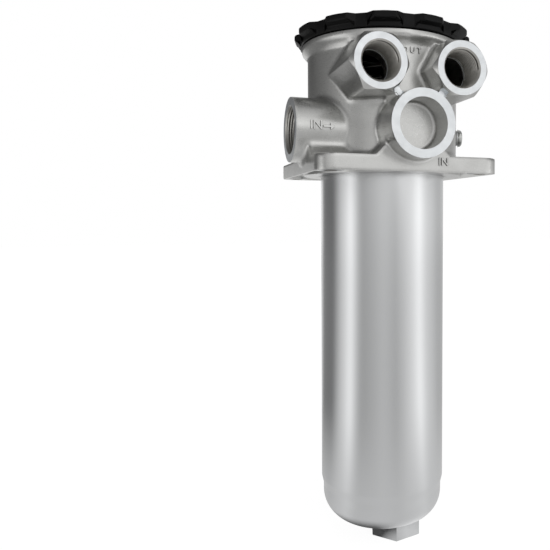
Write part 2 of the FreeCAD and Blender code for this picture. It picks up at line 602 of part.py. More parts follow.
def gauge_washer():
    """The soft metal washer under the gauge plug."""
    base = BODY_RADIUS + GAUGE_PAD_HEIGHT
    direction = gauge_direction()
    disc = Part.makeCylinder(GAUGE_WASHER_RADIUS, GAUGE_WASHER_THICKNESS, gauge_point(base), direction)
    hole = Part.makeCylinder(GAUGE_THREAD_RADIUS, GAUGE_WASHER_THICKNESS + 2 * OVERRUN,
                             gauge_point(base - OVERRUN), direction)
    return disc.cut(hole)


# Bowl

def bowl_profile(inset, top, bottom):
    """One side of the bowl's wall, from its top end down to its floor at the axis."""
    wall = BOWL_RADIUS - inset
    neck = wall - BOWL_STEP
    knuckle = BOWL_KNUCKLE_RADIUS - inset
    centre_radius = neck - knuckle
    centre_height = bottom + knuckle
    diagonal = knuckle * math.sqrt(0.5)
    step = -BOWL_DEPTH + BOWL_FOOT_HEIGHT
    corners = [Vector(wall, 0, top), Vector(wall, 0, step),
               Vector(neck, 0, step - BOWL_STEP_LENGTH), Vector(neck, 0, centre_height)]
    middle = Vector(centre_radius + diagonal, 0, centre_height - diagonal)
    foot = Vector(centre_radius, 0, bottom)
    edges = Part.makePolygon(corners).Edges
    edges.append(Part.Arc(corners[-1], middle, foot).toShape())
    edges.append(Part.makeLine(foot, Vector(0, 0, bottom)))
    return edges


def bowl():
    """The drawn bowl with its stepped foot, round knuckle and the hole for the outlet valve."""
    outside = bowl_profile(0, BOWL_SEAT_DEPTH, -BOWL_DEPTH)
    inside = bowl_profile(BOWL_WALL, BOWL_SEAT_DEPTH, BOWL_FLOOR)
    top = Part.makeLine(Vector(BOWL_INNER_RADIUS, 0, BOWL_SEAT_DEPTH),
                        Vector(BOWL_RADIUS, 0, BOWL_SEAT_DEPTH))
    axis = Part.makeLine(Vector(0, 0, -BOWL_DEPTH), Vector(0, 0, BOWL_FLOOR))
    wall = Part.Wire(Part.__sortEdges__(outside + inside + [top, axis]))
    shell = Part.Face(wall).revolve(Vector(0, 0, 0), UP, 360)
    hole = upright(OUTLET_NECK_RADIUS + FIT_GAP, -BOWL_DEPTH - OVERRUN, BOWL_FLOOR + OVERRUN,
                   OUTLET_CENTRE)
    return shell.cut(hole)


def bowl_seal():
    """The round seal between the head's bore and the bowl."""
    return round_seal(BOWL_RADIUS + SEAL_SECTION / 2, SEAL_SECTION - FIT_GAP, BOWL_SEAL_HEIGHT)


# Filter element

def element_top_cap():
    """The flanged upper end cap, with its seal groove and its central outlet."""
    flange = PARTITION_BORE_RADIUS - RUNNING_GAP
    groove_floor = PARTITION_BORE_RADIUS - SMALL_SEAL_SECTION
    middle = ELEMENT_SEAT + ELEMENT_FLANGE_THICKNESS / 2
    half = SMALL_SEAL_SECTION / 2 + FIT_GAP
    skirt_bottom = PACK_TOP - ELEMENT_CAP_SKIRT
    pack = PLEAT_OUTER_RADIUS + RUNNING_GAP
    lip = GUIDE_SPACE_RADIUS - FIT_GAP
    return turned([
        (ELEMENT_OUTLET_RADIUS, PARTITION_TOP), (flange, PARTITION_TOP), (flange, middle + half),
        (groove_floor, middle + half), (groove_floor, middle - half), (flange, middle - half),
        (flange, ELEMENT_SEAT), (CAP_SKIRT_RADIUS, ELEMENT_SEAT), (CAP_SKIRT_RADIUS, skirt_bottom),
        (pack, skirt_bottom), (pack, PACK_TOP), (lip, PACK_TOP), (lip, skirt_bottom),
        (ELEMENT_OUTLET_RADIUS, skirt_bottom)])


def element_top_seal():
    """The round seal in the upper cap's flange."""
    middle = ELEMENT_SEAT + ELEMENT_FLANGE_THICKNESS / 2
    return round_seal(PARTITION_BORE_RADIUS - SMALL_SEAL_SECTION / 2, SMALL_SEAL_SECTION - FIT_GAP, middle)


def element_handle():
    """The arched grip by which the element is lifted out."""
    half = HANDLE_WIDTH / 2
    start = Vector(0, -half, PARTITION_TOP)
    across = Vector(0, 1, 0)
    outer = Part.makeCylinder(HANDLE_RADIUS, HANDLE_WIDTH, start, across)
    inner = Part.makeCylinder(HANDLE_RADIUS - HANDLE_THICKNESS, HANDLE_WIDTH + 2 * OVERRUN,
                              start - across * OVERRUN, across)
    upper = Part.makeBox(2 * HANDLE_RADIUS, HANDLE_WIDTH, HANDLE_RADIUS, start - Vector(HANDLE_RADIUS, 0, 0))
    return outer.cut(inner).common(upper)


def pleated_media():
    """The folded filter sheet, one closed zigzag between its inner and outer folds."""
    valley = ELEMENT_TUBE_RADIUS + RUNNING_GAP
    outer = []
    inner = []
    for index in range(2 * PLEATS):
        angle = math.pi * index / PLEATS
        direction = Vector(math.cos(angle), math.sin(angle), 0)
        far_side, near_side = PLEAT_OUTER_RADIUS, PLEAT_OUTER_RADIUS - PLEAT_FOLD
        if index % 2:
            far_side, near_side = valley + PLEAT_FOLD, valley
        outer.append(direction * far_side + Vector(0, 0, PACK_BOTTOM))
        inner.append(direction * near_side + Vector(0, 0, PACK_BOTTOM))
    outline = Part.makePolygon(outer + outer[:1])
    opening = Part.makePolygon(inner + inner[:1])
    sheet = Part.Face(outline).cut(Part.Face(opening))
    return sheet.Faces[0].extrude(UP * (PACK_TOP - PACK_BOTTOM))


def support_tube():
    """The slotted centre tube that carries the folds."""
    tube = ring(ELEMENT_TUBE_RADIUS, GUIDE_SPACE_RADIUS, PACK_BOTTOM, PACK_TOP)
    row_height = (PACK_TOP - PACK_BOTTOM) / TUBE_WINDOW_ROWS
    length = 2 * ELEMENT_TUBE_RADIUS + 2 * OVERRUN
    windows = []
    for row in range(TUBE_WINDOW_ROWS):
        bottom = PACK_BOTTOM + row * row_height + TUBE_WINDOW_BRIDGE / 2
        for index in range(TUBE_WINDOW_PAIRS):
            window = Part.makeBox(length, TUBE_WINDOW_WIDTH, row_height - TUBE_WINDOW_BRIDGE,
                                  Vector(-length / 2, -TUBE_WINDOW_WIDTH / 2, bottom))
            window.rotate(Vector(0, 0, 0), UP, 180.0 * index / TUBE_WINDOW_PAIRS)
            windows.append(window)
    return tube.cut(windows)


def element_bottom_cap():
    """The lower end cap with its outlet spigot, its bypass holes and the valve's guide tube."""
    floor_bottom = PACK_BOTTOM - ELEMENT_CAP_FLOOR
    skirt_top = PACK_BOTTOM + ELEMENT_CAP_SKIRT
    pack = PLEAT_OUTER_RADIUS + RUNNING_GAP
    guide_top = PACK_BOTTOM + GUIDE_LENGTH
    bore = SPIGOT_RADIUS - SPIGOT_WALL
    seal_height = SPIGOT_END + SPIGOT_SEAL_HEIGHT
    half = SMALL_SEAL_SECTION / 2 + FIT_GAP
    groove_floor = SPIGOT_RADIUS + RUNNING_GAP - SMALL_SEAL_SECTION
    stop_floor = SPIGOT_RADIUS - BYPASS_STOP_GROOVE
    stop_top = BYPASS_STOP_BOTTOM + BYPASS_STOP_THICKNESS
    cap = turned([
        (bore, SPIGOT_END), (SPIGOT_RADIUS, SPIGOT_END), (SPIGOT_RADIUS, seal_height - half),
        (groove_floor, seal_height - half), (groove_floor, seal_height + half),
        (SPIGOT_RADIUS, seal_height + half), (SPIGOT_RADIUS, floor_bottom),
        (CAP_SKIRT_RADIUS, floor_bottom), (CAP_SKIRT_RADIUS, skirt_top), (pack, skirt_top),
        (pack, PACK_BOTTOM), (SPIGOT_RADIUS, PACK_BOTTOM), (SPIGOT_RADIUS, BYPASS_STOP_BOTTOM),
        (stop_floor, BYPASS_STOP_BOTTOM), (stop_floor, stop_top), (SPIGOT_RADIUS, stop_top),
        (SPIGOT_RADIUS, guide_top), (bore, guide_top)])
    hole_circle = (SPIGOT_RADIUS + GUIDE_SPACE_RADIUS) / 2
    holes = [upright(BYPASS_HOLE_RADIUS, floor_bottom - OVERRUN, PACK_BOTTOM + OVERRUN, place)
             for place in around(BYPASS_HOLES, hole_circle)]
    return cap.cut(holes)


def element_bottom_seal():
    """The round seal on the spigot."""
    centre_radius = SPIGOT_RADIUS + RUNNING_GAP - SMALL_SEAL_SECTION / 2
    return round_seal(centre_radius, SMALL_SEAL_SECTION - FIT_GAP, SPIGOT_END + SPIGOT_SEAL_HEIGHT)


def bypass_plate():
    """The ring valve that covers the bypass holes."""
    outer = GUIDE_SPACE_RADIUS - RUNNING_GAP
    return ring(outer, SPIGOT_RADIUS + SHAFT_GAP, PACK_BOTTOM, BYPASS_SPRING_SEAT)


def bypass_spring():
    """The coil spring that holds the ring valve shut."""
    mean_radius = (SPIGOT_RADIUS + GUIDE_SPACE_RADIUS) / 2
    return coil_spring(mean_radius, BYPASS_SPRING_WIRE, BYPASS_SPRING_SEAT, BYPASS_SPRING_LENGTH,
                       BYPASS_SPRING_TURNS)


def bypass_stop():
    """The ring in the guide tube's groove that the bypass spring bears on."""
    return ring(BYPASS_STOP_RADIUS, SPIGOT_RADIUS - BYPASS_STOP_GROOVE, BYPASS_STOP_BOTTOM,
                BYPASS_STOP_BOTTOM + BYPASS_STOP_THICKNESS)


# Outlet in the bowl's floor

def outlet_manifold():
    """The block on the bowl's floor: a socket for the spigot and a passage to the outlet valve."""
    block = upright(MANIFOLD_RADIUS, BOWL_FLOOR, MANIFOLD_BASE_TOP)
    socket = upright(SOCKET_RADIUS, MANIFOLD_BASE_TOP, SOCKET_TOP)
    socket_bore = upright(SPIGOT_RADIUS + RUNNING_GAP, SOCKET_FLOOR, SOCKET_TOP + OVERRUN)
    thread = upright(OUTLET_NECK_RADIUS + FIT_GAP, BOWL_FLOOR - OVERRUN, OUTLET_NECK_TOP, OUTLET_CENTRE)
    passage = upright(OUTLET_SEAT_RADIUS, OUTLET_NECK_TOP - OVERRUN, SOCKET_FLOOR + OVERRUN, OUTLET_CENTRE)
    return block.fuse(socket).cut([socket_bore, thread, passage]).removeSplitter()


def outlet_valve_body():
    """The plated hexagon body with its threaded neck, valve seat and spring chamber."""
    corner = FreeCAD.Rotation(UP, OUTLET_HEX_TURN).multVec(Vector(1, 0, 0))
    start = OUTLET_CENTRE + Vector(0, 0, OUTLET_FACE)
    prism = hexagon(OUTLET_HEX_ACROSS_FLATS, corner, UP, start, OUTLET_HEX_HEIGHT)
    corner_radius = OUTLET_HEX_ACROSS_FLATS / math.sqrt(3)
    slope = (corner_radius - OUTLET_HEX_FACE_RADIUS) / OUTLET_HEX_CHAMFER_LENGTH
    cone = Part.makeCone(OUTLET_HEX_FACE_RADIUS, OUTLET_HEX_FACE_RADIUS + slope * OUTLET_HEX_HEIGHT,
                         OUTLET_HEX_HEIGHT, start, UP)
    neck = upright(OUTLET_NECK_RADIUS, OUTLET_HEX_TOP - OVERRUN, OUTLET_NECK_TOP, OUTLET_CENTRE)
    ring_top = GUIDE_PLATE_BOTTOM
    groove_radius = OUTLET_CHAMBER_RADIUS + RING_GROOVE_DEPTH
    cuts = [
        upright(OUTLET_SEAT_RADIUS, VALVE_SEAT - OVERRUN, OUTLET_NECK_TOP + OVERRUN, OUTLET_CENTRE),
        upright(OUTLET_CHAMBER_RADIUS, OUTLET_FACE - OVERRUN, VALVE_SEAT, OUTLET_CENTRE),
        upright(groove_radius, ring_top - RING_THICKNESS, ring_top, OUTLET_CENTRE)]
    return prism.common(cone).fuse(neck).cut(cuts).removeSplitter()


def outlet_washer():
    """The sealing washer between the bowl's floor and the hexagon."""
    hole = OUTLET_NECK_RADIUS + FIT_GAP
    return ring(OUTLET_WASHER_RADIUS, hole, OUTLET_HEX_TOP, -BOWL_DEPTH, OUTLET_CENTRE)


def outlet_poppet():
    """The valve plate with its nose in the seat and its stem in the guide."""
    nose = OUTLET_SEAT_RADIUS - RUNNING_GAP
    nose_top = VALVE_SEAT + POPPET_NOSE_LENGTH
    stem_end = GUIDE_PLATE_BOTTOM + POPPET_STEM_INSET
    return turned([
        (0, stem_end), (POPPET_STEM_RADIUS, stem_end), (POPPET_STEM_RADIUS, POPPET_BACK),
        (POPPET_RADIUS, POPPET_BACK), (POPPET_RADIUS, VALVE_SEAT), (nose, VALVE_SEAT),
        (nose / 2, nose_top), (0, nose_top)], OUTLET_CENTRE)


def outlet_spring():
    """The coil spring that keeps the outlet valve shut."""
    return coil_spring(OUTLET_SPRING_RADIUS, OUTLET_SPRING_WIRE, GUIDE_PLATE_TOP, OUTLET_SPRING_LENGTH,
                       OUTLET_SPRING_TURNS, OUTLET_CENTRE)


def outlet_guide_plate():
    """The drilled plate that guides the stem and carries the spring."""
    outer = OUTLET_CHAMBER_RADIUS - FIT_GAP
    plate = ring(outer, POPPET_STEM_RADIUS + SHAFT_GAP, GUIDE_PLATE_BOTTOM, GUIDE_PLATE_TOP, OUTLET_CENTRE)
    spring_edge = OUTLET_SPRING_RADIUS + OUTLET_SPRING_WIRE / 2
    hole_circle = (spring_edge + outer) / 2
    holes = []
    for place in around(GUIDE_PLATE_HOLES, hole_circle):
        holes.append(upright(GUIDE_PLATE_HOLE_RADIUS, GUIDE_PLATE_BOTTOM - OVERRUN, GUIDE_PLATE_TOP + OVERRUN,
                             OUTLET_CENTRE + place))
    return plate.cut(holes)


def retaining_ring():
    """The open spring ring in the groove under the guide plate."""
    outer = OUTLET_CHAMBER_RADIUS + RING_GROOVE_DEPTH - FIT_GAP
    bottom = GUIDE_PLATE_BOTTOM - RING_THICKNESS
    whole = ring(outer, outer - RING_WIDTH, bottom, GUIDE_PLATE_BOTTOM, OUTLET_CENTRE)
    gap = Part.makeBox(RING_GAP_WIDTH, 2 * outer, 2 * RING_THICKNESS,
                       OUTLET_CENTRE + Vector(-RING_GAP_WIDTH / 2, 0, bottom - RING_THICKNESS / 2))
    return whole.cut(gap)


NODES = [
    filter_head, cover, cover_seal, hold_down_spring, gauge_plug, gauge_washer, bowl, bowl_seal,
    element_top_cap, element_top_seal, element_handle, pleated_media, support_tube, element_bottom_cap,
    element_bottom_seal, bypass_plate, bypass_spring, bypass_stop, outlet_manifold, outlet_valve_body,
    outlet_washer, outlet_poppet, outlet_spring, outlet_guide_plate, retaining_ring]

os.makedirs("parts", exist_ok=True)
for make in NODES:
    piece = make()
    piece.exportStep("parts/" + make.__name__ + ".step")
    print(make.__name__, "solids", len(piece.Solids), "valid", piece.isValid(), "volume", round(piece.Volume))
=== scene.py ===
# %% [markdown]
# A tank top return filter, dressed for its portrait.
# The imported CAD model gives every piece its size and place. This script only adds what a drawing
# leaves out: the skin of a casting, turned port faces, threads, lettering, drawn metal and moulded plastic.
# Lengths are written in millimetres, and one helper turns them into Blender's metres.

# %% Load the frame
import bmesh
import bpy
import json
import math
from mathutils import Matrix, Vector

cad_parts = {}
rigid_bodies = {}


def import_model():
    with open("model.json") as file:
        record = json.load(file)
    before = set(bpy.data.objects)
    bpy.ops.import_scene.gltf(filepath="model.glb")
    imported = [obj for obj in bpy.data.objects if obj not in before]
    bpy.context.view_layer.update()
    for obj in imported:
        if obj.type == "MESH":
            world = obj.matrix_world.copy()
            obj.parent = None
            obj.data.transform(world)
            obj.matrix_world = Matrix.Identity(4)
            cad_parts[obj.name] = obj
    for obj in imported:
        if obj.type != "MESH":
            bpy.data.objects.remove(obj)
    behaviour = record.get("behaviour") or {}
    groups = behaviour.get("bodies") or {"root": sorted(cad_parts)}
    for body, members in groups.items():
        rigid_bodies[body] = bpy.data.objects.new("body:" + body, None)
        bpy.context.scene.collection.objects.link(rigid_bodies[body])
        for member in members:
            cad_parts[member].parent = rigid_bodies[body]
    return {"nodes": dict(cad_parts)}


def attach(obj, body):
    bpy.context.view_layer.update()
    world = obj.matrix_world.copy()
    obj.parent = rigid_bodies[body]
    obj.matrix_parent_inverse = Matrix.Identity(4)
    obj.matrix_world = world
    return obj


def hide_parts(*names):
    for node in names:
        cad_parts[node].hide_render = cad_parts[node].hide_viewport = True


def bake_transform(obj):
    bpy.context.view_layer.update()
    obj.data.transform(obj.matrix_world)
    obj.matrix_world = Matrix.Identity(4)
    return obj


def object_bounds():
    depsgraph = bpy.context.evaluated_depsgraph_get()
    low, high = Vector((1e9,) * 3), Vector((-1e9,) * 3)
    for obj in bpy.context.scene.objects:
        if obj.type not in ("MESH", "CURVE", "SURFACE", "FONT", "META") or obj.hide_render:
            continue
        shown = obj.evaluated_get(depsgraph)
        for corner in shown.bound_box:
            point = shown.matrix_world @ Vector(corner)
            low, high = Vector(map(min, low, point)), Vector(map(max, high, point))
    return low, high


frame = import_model()
nodes = frame["nodes"]
cad_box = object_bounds()


def mm(*values):
    """Millimetres as Blender's metres: one number, or a vector of several."""
    metres = [value / 1000 for value in values]
    return metres[0] if len(metres) == 1 else Vector(metres)


# %% [markdown]
# The camera stands a little to the left of the object and a little lower than its flange, so the ports
# face the lens and the underside of the rim shows. The picture was cropped off the lens's centre, which
# is what the camera's shift is for: turning the camera instead would make the upright bowl lean.

# %% Camera
PICTURE = 550
FOCAL_PIXELS = 600
AXIS_PIXEL = (382, 239)
CAMERA_DISTANCE = 588.5
CAMERA_TURN = 20.0
CAMERA_HEIGHT = -37.0
CAMERA_TILT = 2.3

view_angle = math.radians(CAMERA_TURN)
to_camera = Vector((-math.sin(view_angle), -math.cos(view_angle), 0))
to_right = Vector((math.cos(view_angle), -math.sin(view_angle), 0))
lens = bpy.data.cameras.new("camera")
lens.sensor_width = 36
lens.lens = FOCAL_PIXELS * lens.sensor_width / PICTURE
lens.shift_x = (PICTURE / 2 - AXIS_PIXEL[0]) / PICTURE
lens.shift_y = (AXIS_PIXEL[1] - PICTURE / 2) / PICTURE
camera = bpy.data.objects.new("camera", lens)
camera.location = to_camera * mm(CAMERA_DISTANCE) + mm(0, 0, CAMERA_HEIGHT)
camera.rotation_euler = (math.radians(90 - CAMERA_TILT), 0, -view_angle)
bpy.context.scene.collection.objects.link(camera)
bpy.context.scene.camera = camera
bpy.context.scene.view_settings.view_transform = "Standard"
print("lens", round(lens.lens, 2), "mm, shift", round(lens.shift_x, 4), round(lens.shift_y, 4))

# %% [markdown]
# A shader is a handful of nodes joined by wires, so one small function that makes a node, sets its
# inputs and joins its wires is enough for every material below. Colours are written as on a screen,
# in sRGB hex, and one function turns them into the linear light values that the renderer works in.

# %% Small helpers for materials
WHITE = (1.0, 1.0, 1.0, 1.0)


def linear(code):
    """The linear colour of an sRGB hex code."""
    parts = [int(code[i:i + 2], 16) / 255 for i in (1, 3, 5)]
    return [p / 12.92 if p <= 0.04045 else ((p + 0.055) / 1.055) ** 2.4 for p in parts] + [1.0]


def add(tree, kind, settings=None, stops=(), **inputs):
    """A node of that kind, with its own settings, a colour ramp's stops, and its inputs.

    Stops are pairs of a position and a colour. An input is named as in the editor or by its number
    after an underscore, and is either a value or another node's output.
    """
    node = tree.nodes.new(kind)
    for name, value in (settings or {}).items():
        setattr(node, name, value)
    for name, value in inputs.items():
        socket = node.inputs[int(name[1:])] if name[1:].isdigit() else node.inputs[name.replace("_", " ")]
        if isinstance(value, bpy.types.NodeSocket):
            tree.links.new(value, socket)
        else:
            socket.default_value = value
    if stops:
        marks = node.color_ramp.elements
        while len(marks) < len(stops):
            marks.new(0.5)
        for mark, (position, colour) in zip(marks, stops):
            mark.position = position
            mark.color = colour
    return node


def blank_material(name, **inputs):
    """A new material; returns it, its tree, its principled surface and the object coordinates."""
    material = bpy.data.materials.new(name)
    material.use_nodes = True
    tree = material.node_tree
    surface = tree.nodes["Principled BSDF"]
    for key, value in inputs.items():
        surface.inputs[key.replace("_", " ")].default_value = value
    place = tree.nodes.new("ShaderNodeTexCoord").outputs["Object"]
    return material, tree, surface, place


def per_metre(size):
    """A texture's scale for a pattern that repeats about every size millimetres."""
    return 1 / mm(size)


# %% [markdown]
# Sand-cast aluminium that was bead blasted: a warm grey metal whose skin is a fine even grain. Its hollows
# are darkened with painted shade. The grain is about 0.9 mm, drawn as noise, with a slower mottling of two
# centimetres over it. The grain goes into colour, roughness and bump alike.
# How deep a spot lies is measured with the ambient occlusion node, which looks 5 mm round it, and the
# painted shade follows it.

# %% Cast aluminium
CAST_GRAIN = 0.9
CAST_MOTTLE = 22
CAST_SHADE_REACH = 5.0
CAST_TONES = [(0.3, linear("#c1c1bf")), (0.7, linear("#d8d8d6"))]


def painted_hollow_shade(tree, skin, reach, dark, darkest=0.35):
    """Painted shade: a colour that darkens in hollows within reach, fully where only the share darkest is
    open.
    """
    hollow = add(tree, "ShaderNodeAmbientOcclusion", {"samples": 8}, Distance=mm(reach))
    painted_shade = add(tree, "ShaderNodeValToRGB", stops=[(darkest, linear(dark)), (0.9, WHITE)],
               Fac=hollow.outputs["AO"])
    colour = add(tree, "ShaderNodeMix", {"data_type": "RGBA", "blend_type": "MULTIPLY"},
                 _0=1.0, _6=skin, _7=painted_shade.outputs["Color"])
    return colour.outputs[2]


def cast_aluminium():
    material, tree, surface, place = blank_material("cast_aluminium_blasted", Metallic=1.0, Roughness=0.5)
    grain = add(tree, "ShaderNodeTexNoise", Vector=place, Scale=per_metre(CAST_GRAIN), Detail=3.0)
    mottle = add(tree, "ShaderNodeTexNoise", Vector=place, Scale=per_metre(CAST_MOTTLE), Detail=4.0)
    tone = add(tree, "ShaderNodeMix", {"data_type": "RGBA"}, _0=0.35, _6=mottle.outputs["Color"],
               _7=grain.outputs["Color"])
    value = add(tree, "ShaderNodeRGBToBW", Color=tone.outputs[2])
    skin = add(tree, "ShaderNodeValToRGB", stops=CAST_TONES, Fac=value.outputs[0])
    # The hollows get painted shade, down to this dark grey.
    colour = painted_hollow_shade(tree, skin.outputs["Color"], CAST_SHADE_REACH, "#6a6866")
    tree.links.new(colour, surface.inputs["Base Color"])
    rough = add(tree, "ShaderNodeMapRange", Value=grain.outputs["Fac"], _1=0.3, _2=0.7, _3=0.26, _4=0.36)
    tree.links.new(rough.outputs[0], surface.inputs["Roughness"])
    bump = add(tree, "ShaderNodeBump", Strength=0.25, Distance=mm(0.1), Height=grain.outputs["Fac"])
    tree.links.new(bump.outputs[0], surface.inputs["Normal"])
    return material


# %% [markdown]
# The port faces were turned in a lathe or mill after casting, so they are bright and carry fine circles
# round the port's own axis. The circles come from the distance to that axis, so the material is made
# once for each axis: the pattern is a sine of the radius with a 0.5 mm pitch, too fine to count but
# enough to spread the highlight.

# %% Turned aluminium
TURNED_PITCH = 0.5


def turned_aluminium(name, centre, axis, colour="#eff2f4", low=0.34, high=0.46):
    material, tree, surface, place = blank_material(name, Metallic=1.0, Roughness=low)
    surface.inputs["Base Color"].default_value = linear(colour)
    to_axis = Vector(axis).rotation_difference(Vector((0, 0, 1))).to_matrix().to_4x4()
    turned = add(tree, "ShaderNodeMapping", {"vector_type": "POINT"}, Vector=place,
                 Location=-(to_axis @ mm(*centre)), Rotation=to_axis.to_euler())
    flat = add(tree, "ShaderNodeVectorMath", {"operation": "MULTIPLY"}, _0=turned.outputs[0],
               _1=(1.0, 1.0, 0.0))
    radius = add(tree, "ShaderNodeVectorMath", {"operation": "LENGTH"}, _0=flat.outputs[0])
    waves = add(tree, "ShaderNodeMath", {"operation": "MULTIPLY"}, _0=radius.outputs["Value"],
                _1=2 * math.pi * per_metre(TURNED_PITCH))
    groove = add(tree, "ShaderNodeMath", {"operation": "SINE"}, _0=waves.outputs[0])
    bump = add(tree, "ShaderNodeBump", Strength=0.25, Distance=mm(0.03), Height=groove.outputs[0])
    tree.links.new(bump.outputs[0], surface.inputs["Normal"])
    smear = add(tree, "ShaderNodeTexNoise", Vector=place, Scale=per_metre(6), Detail=3.0)
    rough = add(tree, "ShaderNodeMapRange", Value=smear.outputs["Fac"], _1=0.3, _2=0.7, _3=low, _4=high)
    tree.links.new(rough.outputs[0], surface.inputs["Roughness"])
    return material


# %% [markdown]
# The bowl is deep drawn: the sheet was pulled through a ring, which leaves faint straight lines down
# its whole length. Lines that run one way spread a highlight across them, so the bright parts of the
# room show as soft upright bands. The lines come from noise stretched 150 times along the bowl.

# %% Drawn aluminium
DRAWN_LINE = 1.1
DRAWN_STRETCH = 150


def drawn_aluminium():
    material, tree, surface, place = blank_material("drawn_aluminium", Metallic=1.0, Roughness=0.25)
    surface.inputs["Base Color"].default_value = linear("#dcddde")
    stretch = add(tree, "ShaderNodeMapping", Vector=place, Scale=(1.0, 1.0, 1 / DRAWN_STRETCH))
    lines = add(tree, "ShaderNodeTexNoise", Vector=stretch.outputs[0], Scale=per_metre(DRAWN_LINE),
                Detail=4.0)
    cloud = add(tree, "ShaderNodeTexNoise", Vector=place, Scale=per_metre(60), Detail=2.0)
    mixed = add(tree, "ShaderNodeMath", {"operation": "MULTIPLY_ADD"}, _0=cloud.outputs["Fac"], _1=0.5,
                _2=lines.outputs["Fac"])
    rough = add(tree, "ShaderNodeMapRange", Value=mixed.outputs[0], _1=0.45, _2=1.05, _3=0.23, _4=0.26)
    tree.links.new(rough.outputs[0], surface.inputs["Roughness"])
    bump = add(tree, "ShaderNodeBump", Strength=0.02, Distance=mm(0.02), Height=lines.outputs["Fac"])
    tree.links.new(bump.outputs[0], surface.inputs["Normal"])
    return material


# %% [markdown]
# The cover is moulded in black glass-filled nylon. The glass makes the skin slightly dull and uneven,
# so it has a soft sheen at its edges instead of a mirror-like one.

# %% Moulded plastic
def moulded_nylon(name, colour):
    material, tree, surface, place = blank_material(name, Roughness=0.45, IOR=1.53, Specular_IOR_Level=0.2)
    surface.inputs["Base Color"].default_value = linear(colour)
    fibre = add(tree, "ShaderNodeTexNoise", Vector=place, Scale=per_metre(0.7), Detail=2.0)
    rough = add(tree, "ShaderNodeMapRange", Value=fibre.outputs["Fac"], _1=0.3, _2=0.7, _3=0.38, _4=0.52)
    tree.links.new(rough.outputs[0], surface.inputs["Roughness"])
    bump = add(tree, "ShaderNodeBump", Strength=0.2, Distance=mm(0.05), Height=fibre.outputs["Fac"])
    tree.links.new(bump.outputs[0], surface.inputs["Normal"])
    return material


# %% [markdown]
# The small steel pieces are plated or left as spring wire. Plating copies the turned surface under it,
# so it is smooth and shiny with a slight unevenness; wire and pressings are a little duller.

# %% Steel, rubber and filter sheet
def steel(name, colour, low, high, grain=3.0):
    material, tree, surface, place = blank_material(name, Metallic=1.0, Roughness=low)
    surface.inputs["Base Color"].default_value = linear(colour)
    smear = add(tree, "ShaderNodeTexNoise", Vector=place, Scale=per_metre(grain), Detail=3.0)
    rough = add(tree, "ShaderNodeMapRange", Value=smear.outputs["Fac"], _1=0.3, _2=0.7, _3=low, _4=high)
    tree.links.new(rough.outputs[0], surface.inputs["Roughness"])
    return material


def nitrile_rubber():
    material, tree, surface, place = blank_material("nitrile_rubber", Roughness=0.6, IOR=1.52)
    surface.inputs["Base Color"].default_value = linear("#151515")
    skin = add(tree, "ShaderNodeTexNoise", Vector=place, Scale=per_metre(1.5), Detail=2.0)
    rough = add(tree, "ShaderNodeMapRange", Value=skin.outputs["Fac"], _1=0.3, _2=0.7, _3=0.5, _4=0.7)
    tree.links.new(rough.outputs[0], surface.inputs["Roughness"])
    return material


def glass_fibre_sheet():
    material, tree, surface, place = blank_material("pleated_glass_fibre", Roughness=0.9)
    weave = add(tree, "ShaderNodeTexVoronoi", {"feature": "DISTANCE_TO_EDGE"}, Vector=place,
                Scale=per_metre(1.6))
    colour = add(tree, "ShaderNodeValToRGB", stops=[(0.05, linear("#a9aaa6")), (0.25, linear("#e4e1d4"))],
                 Fac=weave.outputs["Distance"])
    tree.links.new(colour.outputs["Color"], surface.inputs["Base Color"])
    bump = add(tree, "ShaderNodeBump", Strength=0.4, Distance=mm(0.2), Height=weave.outputs["Distance"])
    tree.links.new(bump.outputs[0], surface.inputs["Normal"])
    return material


# %% [markdown]
# Pieces whose CAD shape is already right keep it, and only get their finish. The inner pieces show
# through the ports and when the object is taken apart, so none of them is left plain.

# %% Finish the pieces that keep their CAD shape
casting = cast_aluminium()
black_nylon = moulded_nylon("black_glass_filled_nylon", "#060607")
grey_nylon = moulded_nylon("grey_glass_filled_nylon", "#33373d")
rubber = nitrile_rubber()
spring_wire = steel("oiled_spring_wire", "#8f8e8b", 0.28, 0.42)
pressed_steel = steel("pressed_steel", "#a3a29e", 0.3, 0.45)
bright_plating = steel("bright_nickel_plating", "#c9cacb", 0.1, 0.2, 12.0)
zinc_plating = steel("zinc_plated_steel", "#b9bab8", 0.22, 0.36)
soft_aluminium = steel("soft_aluminium_washer", "#cfd0d0", 0.3, 0.45)

finishes = {
    "filter_head": casting,
    "cover": black_nylon,
    "bowl": drawn_aluminium(),
    "gauge_plug": zinc_plating,
    "gauge_washer": soft_aluminium,
    "outlet_washer": soft_aluminium,
    "outlet_valve_body": bright_plating,
    "outlet_poppet": pressed_steel,
    "outlet_guide_plate": pressed_steel,
    "retaining_ring": spring_wire,
    "hold_down_spring": spring_wire,
    "bypass_spring": spring_wire,
    "outlet_spring": spring_wire,
    "bypass_plate": pressed_steel,
    "bypass_stop": pressed_steel,
    "support_tube": pressed_steel,
    "element_handle": pressed_steel,
    "element_top_cap": grey_nylon,
    "element_bottom_cap": grey_nylon,
    "outlet_manifold": grey_nylon,
    "pleated_media": glass_fibre_sheet(),
    "cover_seal": rubber,
    "bowl_seal": rubber,
    "element_top_seal": rubber,
    "element_bottom_seal": rubber,
}
for name, finish in finishes.items():
    nodes[name].data.materials.clear()
    nodes[name].data.materials.append(finish)
print("finished nodes:", len(finishes), "of", len(nodes))

# %% [markdown]
# Every new mesh below is drawn in millimetres and starts from one of three shapes: a drum, which is
# bmesh's cone with equal radii, a block, or a profile spun about an axis. A short function turns a shape
# to face along any axis, and another makes the finished drawing an object in metres.

# %% Small helpers for shapes
UP = (0, 0, 1)
FRONT = (0, -1, 0)
BACK = (0, 1, 0)
LEFT = (-1, 0, 0)
RIGHT = (1, 0, 0)


